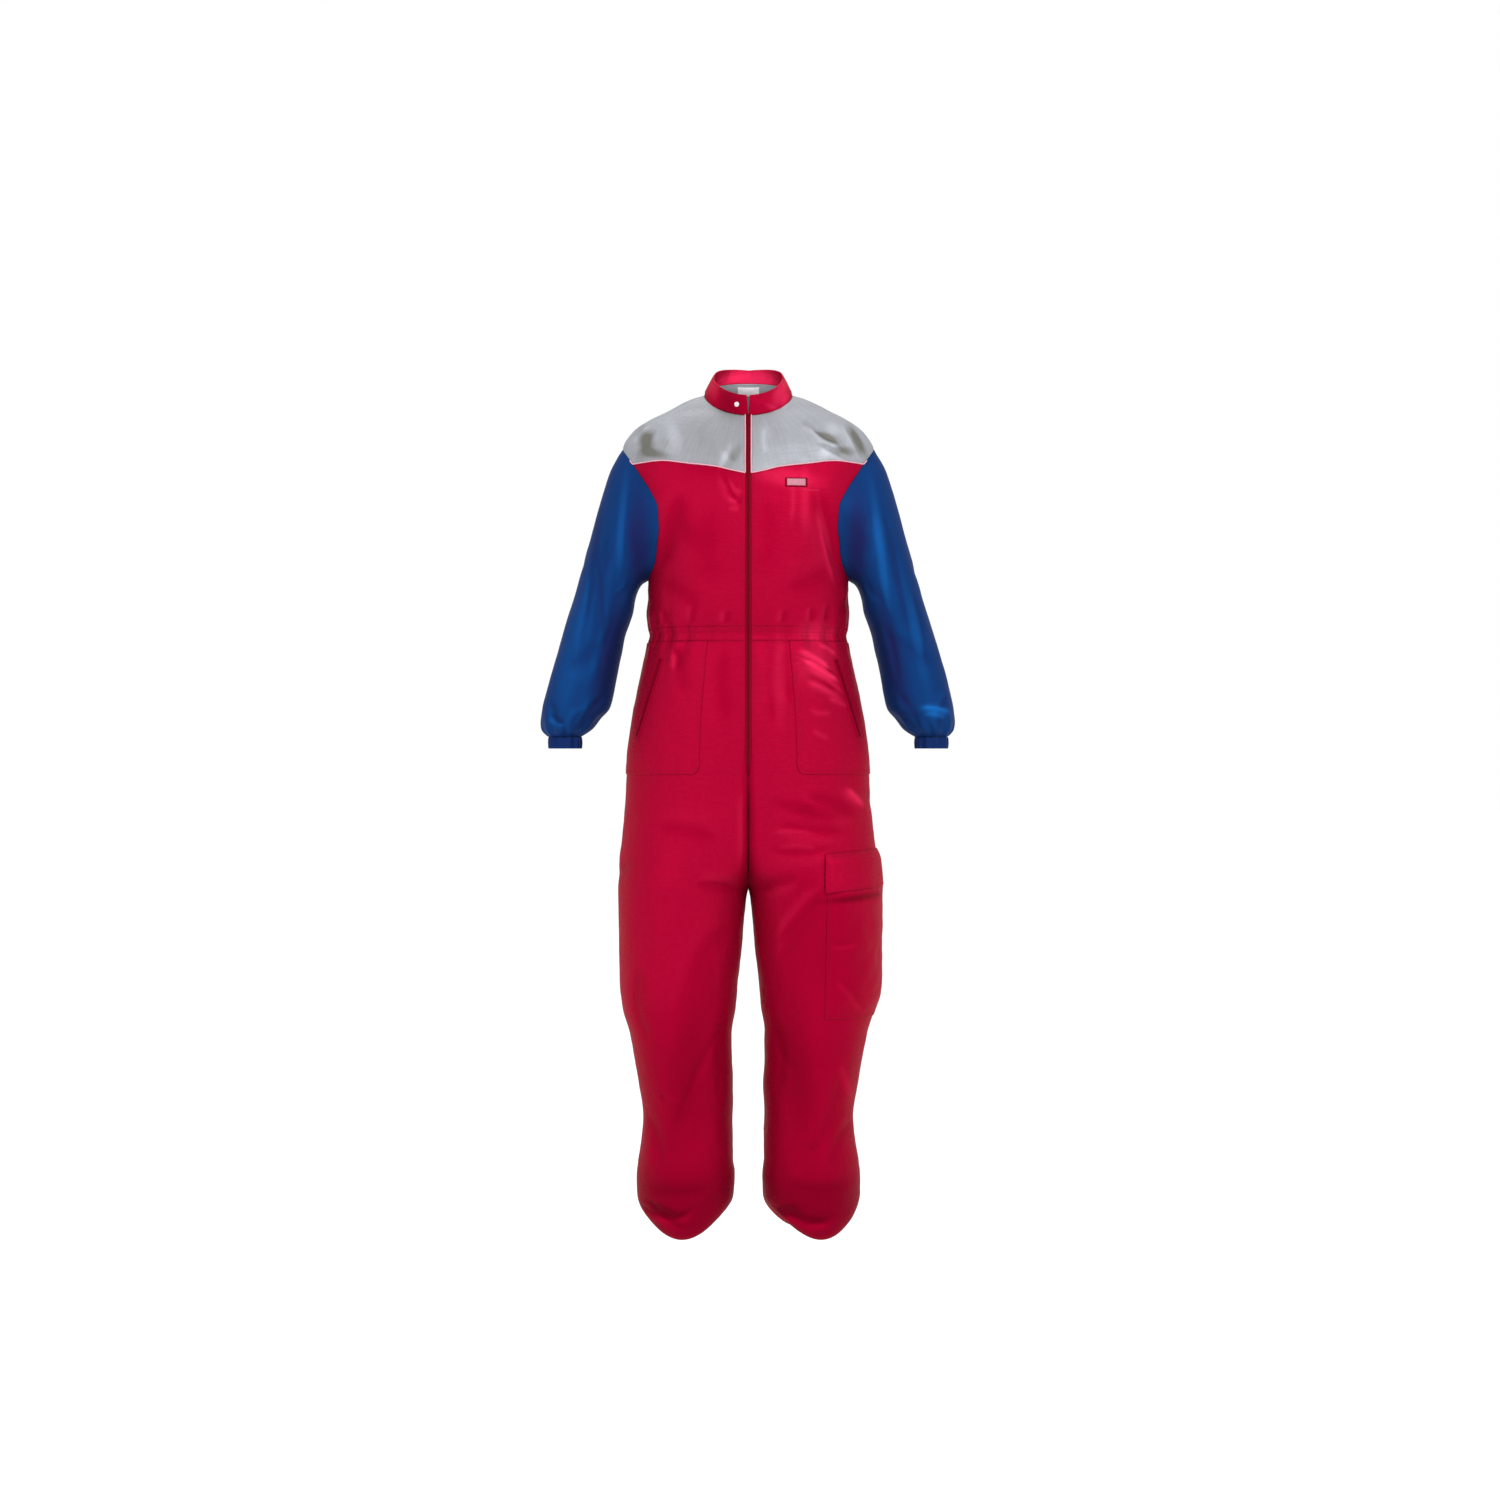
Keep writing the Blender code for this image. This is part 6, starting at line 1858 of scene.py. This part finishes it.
class SUIT_OT_labels(bpy.types.Operator):
    """Builds the plain labels on the chest and inside the neck."""

    bl_idname = "suit.labels"
    bl_label = "Labels"

    def execute(self, context):
        low, high = np.array(CHEST_LABEL_LOW), np.array(CHEST_LABEL_HIGH)
        rows, columns = 10, 22
        v, u = np.meshgrid(np.linspace(0, 1, rows), np.linspace(0, 1, columns), indexing="ij")
        points, normals = on_piece("front_left_cloth", low + (high - low) * np.stack([u, v], -1))
        border = points + normals * TAPE
        cloth("chest_label_border", border, "", finishes()["border"], ["chest_label"],
              thickness=THIN_TAPE)
        # The pale field sits a little high in its border.
        share = np.stack([u, LABEL_BORDER + 0.88 * v], -1)
        inner = low + (high - low) * (LABEL_BORDER + (1 - 2 * LABEL_BORDER) * share)
        points, normals = on_piece("front_left_cloth", inner)
        edge = np.minimum.reduce([u, 1 - u, v, 1 - v])
        field = points + normals * (0.0009 + 0.0004 * eased(edge / 0.12))[..., None]
        made = mesh_object("chest_label_field", field.reshape(-1, 3), grid_faces(rows, columns),
                           finishes()["field"])
        made.modifiers.new("Label", "SOLIDIFY").thickness = 0.0005
        ends, height = CHEST_SEWING
        below = np.stack([np.linspace(*ends, 18), np.full(18, height)], -1)
        rows = [on_piece("front_left_cloth", below)]
        stitching("chest_stitching", rows, finishes()["pale_thread"])

        low, high = np.array(NECK_LABEL_LOW), np.array(NECK_LABEL_HIGH)
        v, u = np.meshgrid(np.linspace(0, 1, 12), np.linspace(0, 1, 24), indexing="ij")
        points, normals = on_piece("yoke_back_cloth", low + (high - low) * np.stack([u, v], -1), inside=True)
        belly = 0.0016 + 0.0009 * np.sin(math.pi * u) * np.sin(math.pi * v)
        cloth("neck_label_cloth", points + normals * belly[..., None], "", finishes()["label"],
              ["neck_label"], thickness=TAPE)
        return {"FINISHED"}


FLOOR_Z, FLOOR_REACH = -1.640, 40.0
CAMERA_X, CAMERA_Z, CAMERA_DISTANCE, CAMERA_LENS = 0.003, -0.631, 5.0, 67.5


class SUIT_OT_stage(bpy.types.Operator):
    """Adds the pale floor, the soft lights and the camera."""

    bl_idname = "suit.stage"
    bl_label = "Stage"

    def execute(self, context):
        floor_mesh = bpy.data.meshes.new("floor")
        corners = [(x * FLOOR_REACH, y * FLOOR_REACH, FLOOR_Z)
                   for x, y in ((-1, -1), (1, -1), (1, 1), (-1, 1))]
        floor_mesh.from_pydata(corners, [], [(0, 1, 2, 3)])
        floor = bpy.data.objects.new("floor", floor_mesh)
        floor_mesh.materials.append(Graph("pale floor").finish(
            Base_Color=(0.62, 0.62, 0.62, 1.0), Roughness=1.0, Specular_IOR_Level=0.0,
            Emission_Color=(1.0, 1.0, 1.0, 1.0), Emission_Strength=0.45))
        context.scene.collection.objects.link(floor)
        world = bpy.data.worlds.new("white room")
        world.use_nodes = True
        background = world.node_tree.nodes["Background"]
        background.inputs["Color"].default_value = (1.0, 1.0, 1.0, 1.0)
        background.inputs["Strength"].default_value = 1.0
        context.scene.world = world
        self.light("key", (1.7, -3.1, 1.7), 1.2, 76.0)
        self.light("fill", (-2.2, -3.2, 0.9), 1.6, 40.0)
        self.light("top", (-0.3, 0.8, 2.4), 1.6, 26.0)
        camera = bpy.data.objects.new("camera", bpy.data.cameras.new("camera"))
        camera.location = (CAMERA_X, -CAMERA_DISTANCE, CAMERA_Z)
        camera.rotation_euler = (math.pi / 2, 0.0, 0.0)
        camera.data.lens, camera.data.sensor_width = CAMERA_LENS, 36.0
        camera.data.clip_end = 200.0
        context.scene.collection.objects.link(camera)
        context.scene.camera = camera
        context.scene.view_settings.view_transform = "Standard"
        return {"FINISHED"}

    def light(self, name, place, size, watts):
        data = bpy.data.lights.new(name, "AREA")
        data.shape, data.size, data.energy = "DISK", size, watts
        lamp = bpy.data.objects.new(name, data)
        lamp.location = place
        lamp.rotation_euler = (Vector((0, 0, -0.7)) - Vector(place)).to_track_quat("-Z", "Y").to_euler()
        bpy.context.scene.collection.objects.link(lamp)


OPERATORS = (
    SUIT_OT_upper_body, SUIT_OT_yoke, SUIT_OT_sleeves, SUIT_OT_waistband, SUIT_OT_trousers, SUIT_OT_collar,
    SUIT_OT_front_zip, SUIT_OT_hip_pockets, SUIT_OT_cargo_pocket, SUIT_OT_labels, SUIT_OT_stage,
)
SETTINGS = {"suit_cloth": ClothSettings, "suit_colours": ColourSettings, "suit_sewing": SewingSettings}


class SUIT_PT_panel(bpy.types.Panel):
    """Lists the sizes, the colours and the steps that build the suit."""

    bl_idname = "SUIT_PT_panel"
    bl_label = "Jumpsuit"
    bl_space_type = "VIEW_3D"
    bl_region_type = "UI"
    bl_category = "Jumpsuit"

    def draw(self, context):
        for name in SETTINGS:
            group = getattr(context.scene, name)
            for key in group.__annotations__:
                self.layout.prop(group, key)
        for operator in OPERATORS:
            self.layout.operator(operator.bl_idname)


def register():
    for group in SETTINGS.values():
        bpy.utils.register_class(group)
    for name, group in SETTINGS.items():
        setattr(bpy.types.Scene, name, bpy.props.PointerProperty(type=group))
    for operator in OPERATORS:
        bpy.utils.register_class(operator)
    bpy.utils.register_class(SUIT_PT_panel)


def unregister():
    bpy.utils.unregister_class(SUIT_PT_panel)
    for operator in reversed(OPERATORS):
        bpy.utils.unregister_class(operator)
    for name in SETTINGS:
        delattr(bpy.types.Scene, name)
    for group in SETTINGS.values():
        bpy.utils.unregister_class(group)


def main():
    register()
    bpy.ops.suit.upper_body()
    bpy.ops.suit.yoke()
    bpy.ops.suit.sleeves()
    bpy.ops.suit.waistband()
    bpy.ops.suit.trousers()
    bpy.ops.suit.collar()
    bpy.ops.suit.front_zip()
    bpy.ops.suit.hip_pockets()
    bpy.ops.suit.cargo_pocket()
    bpy.ops.suit.labels()
    bpy.ops.suit.stage()


if __name__ == "__main__":
    main()
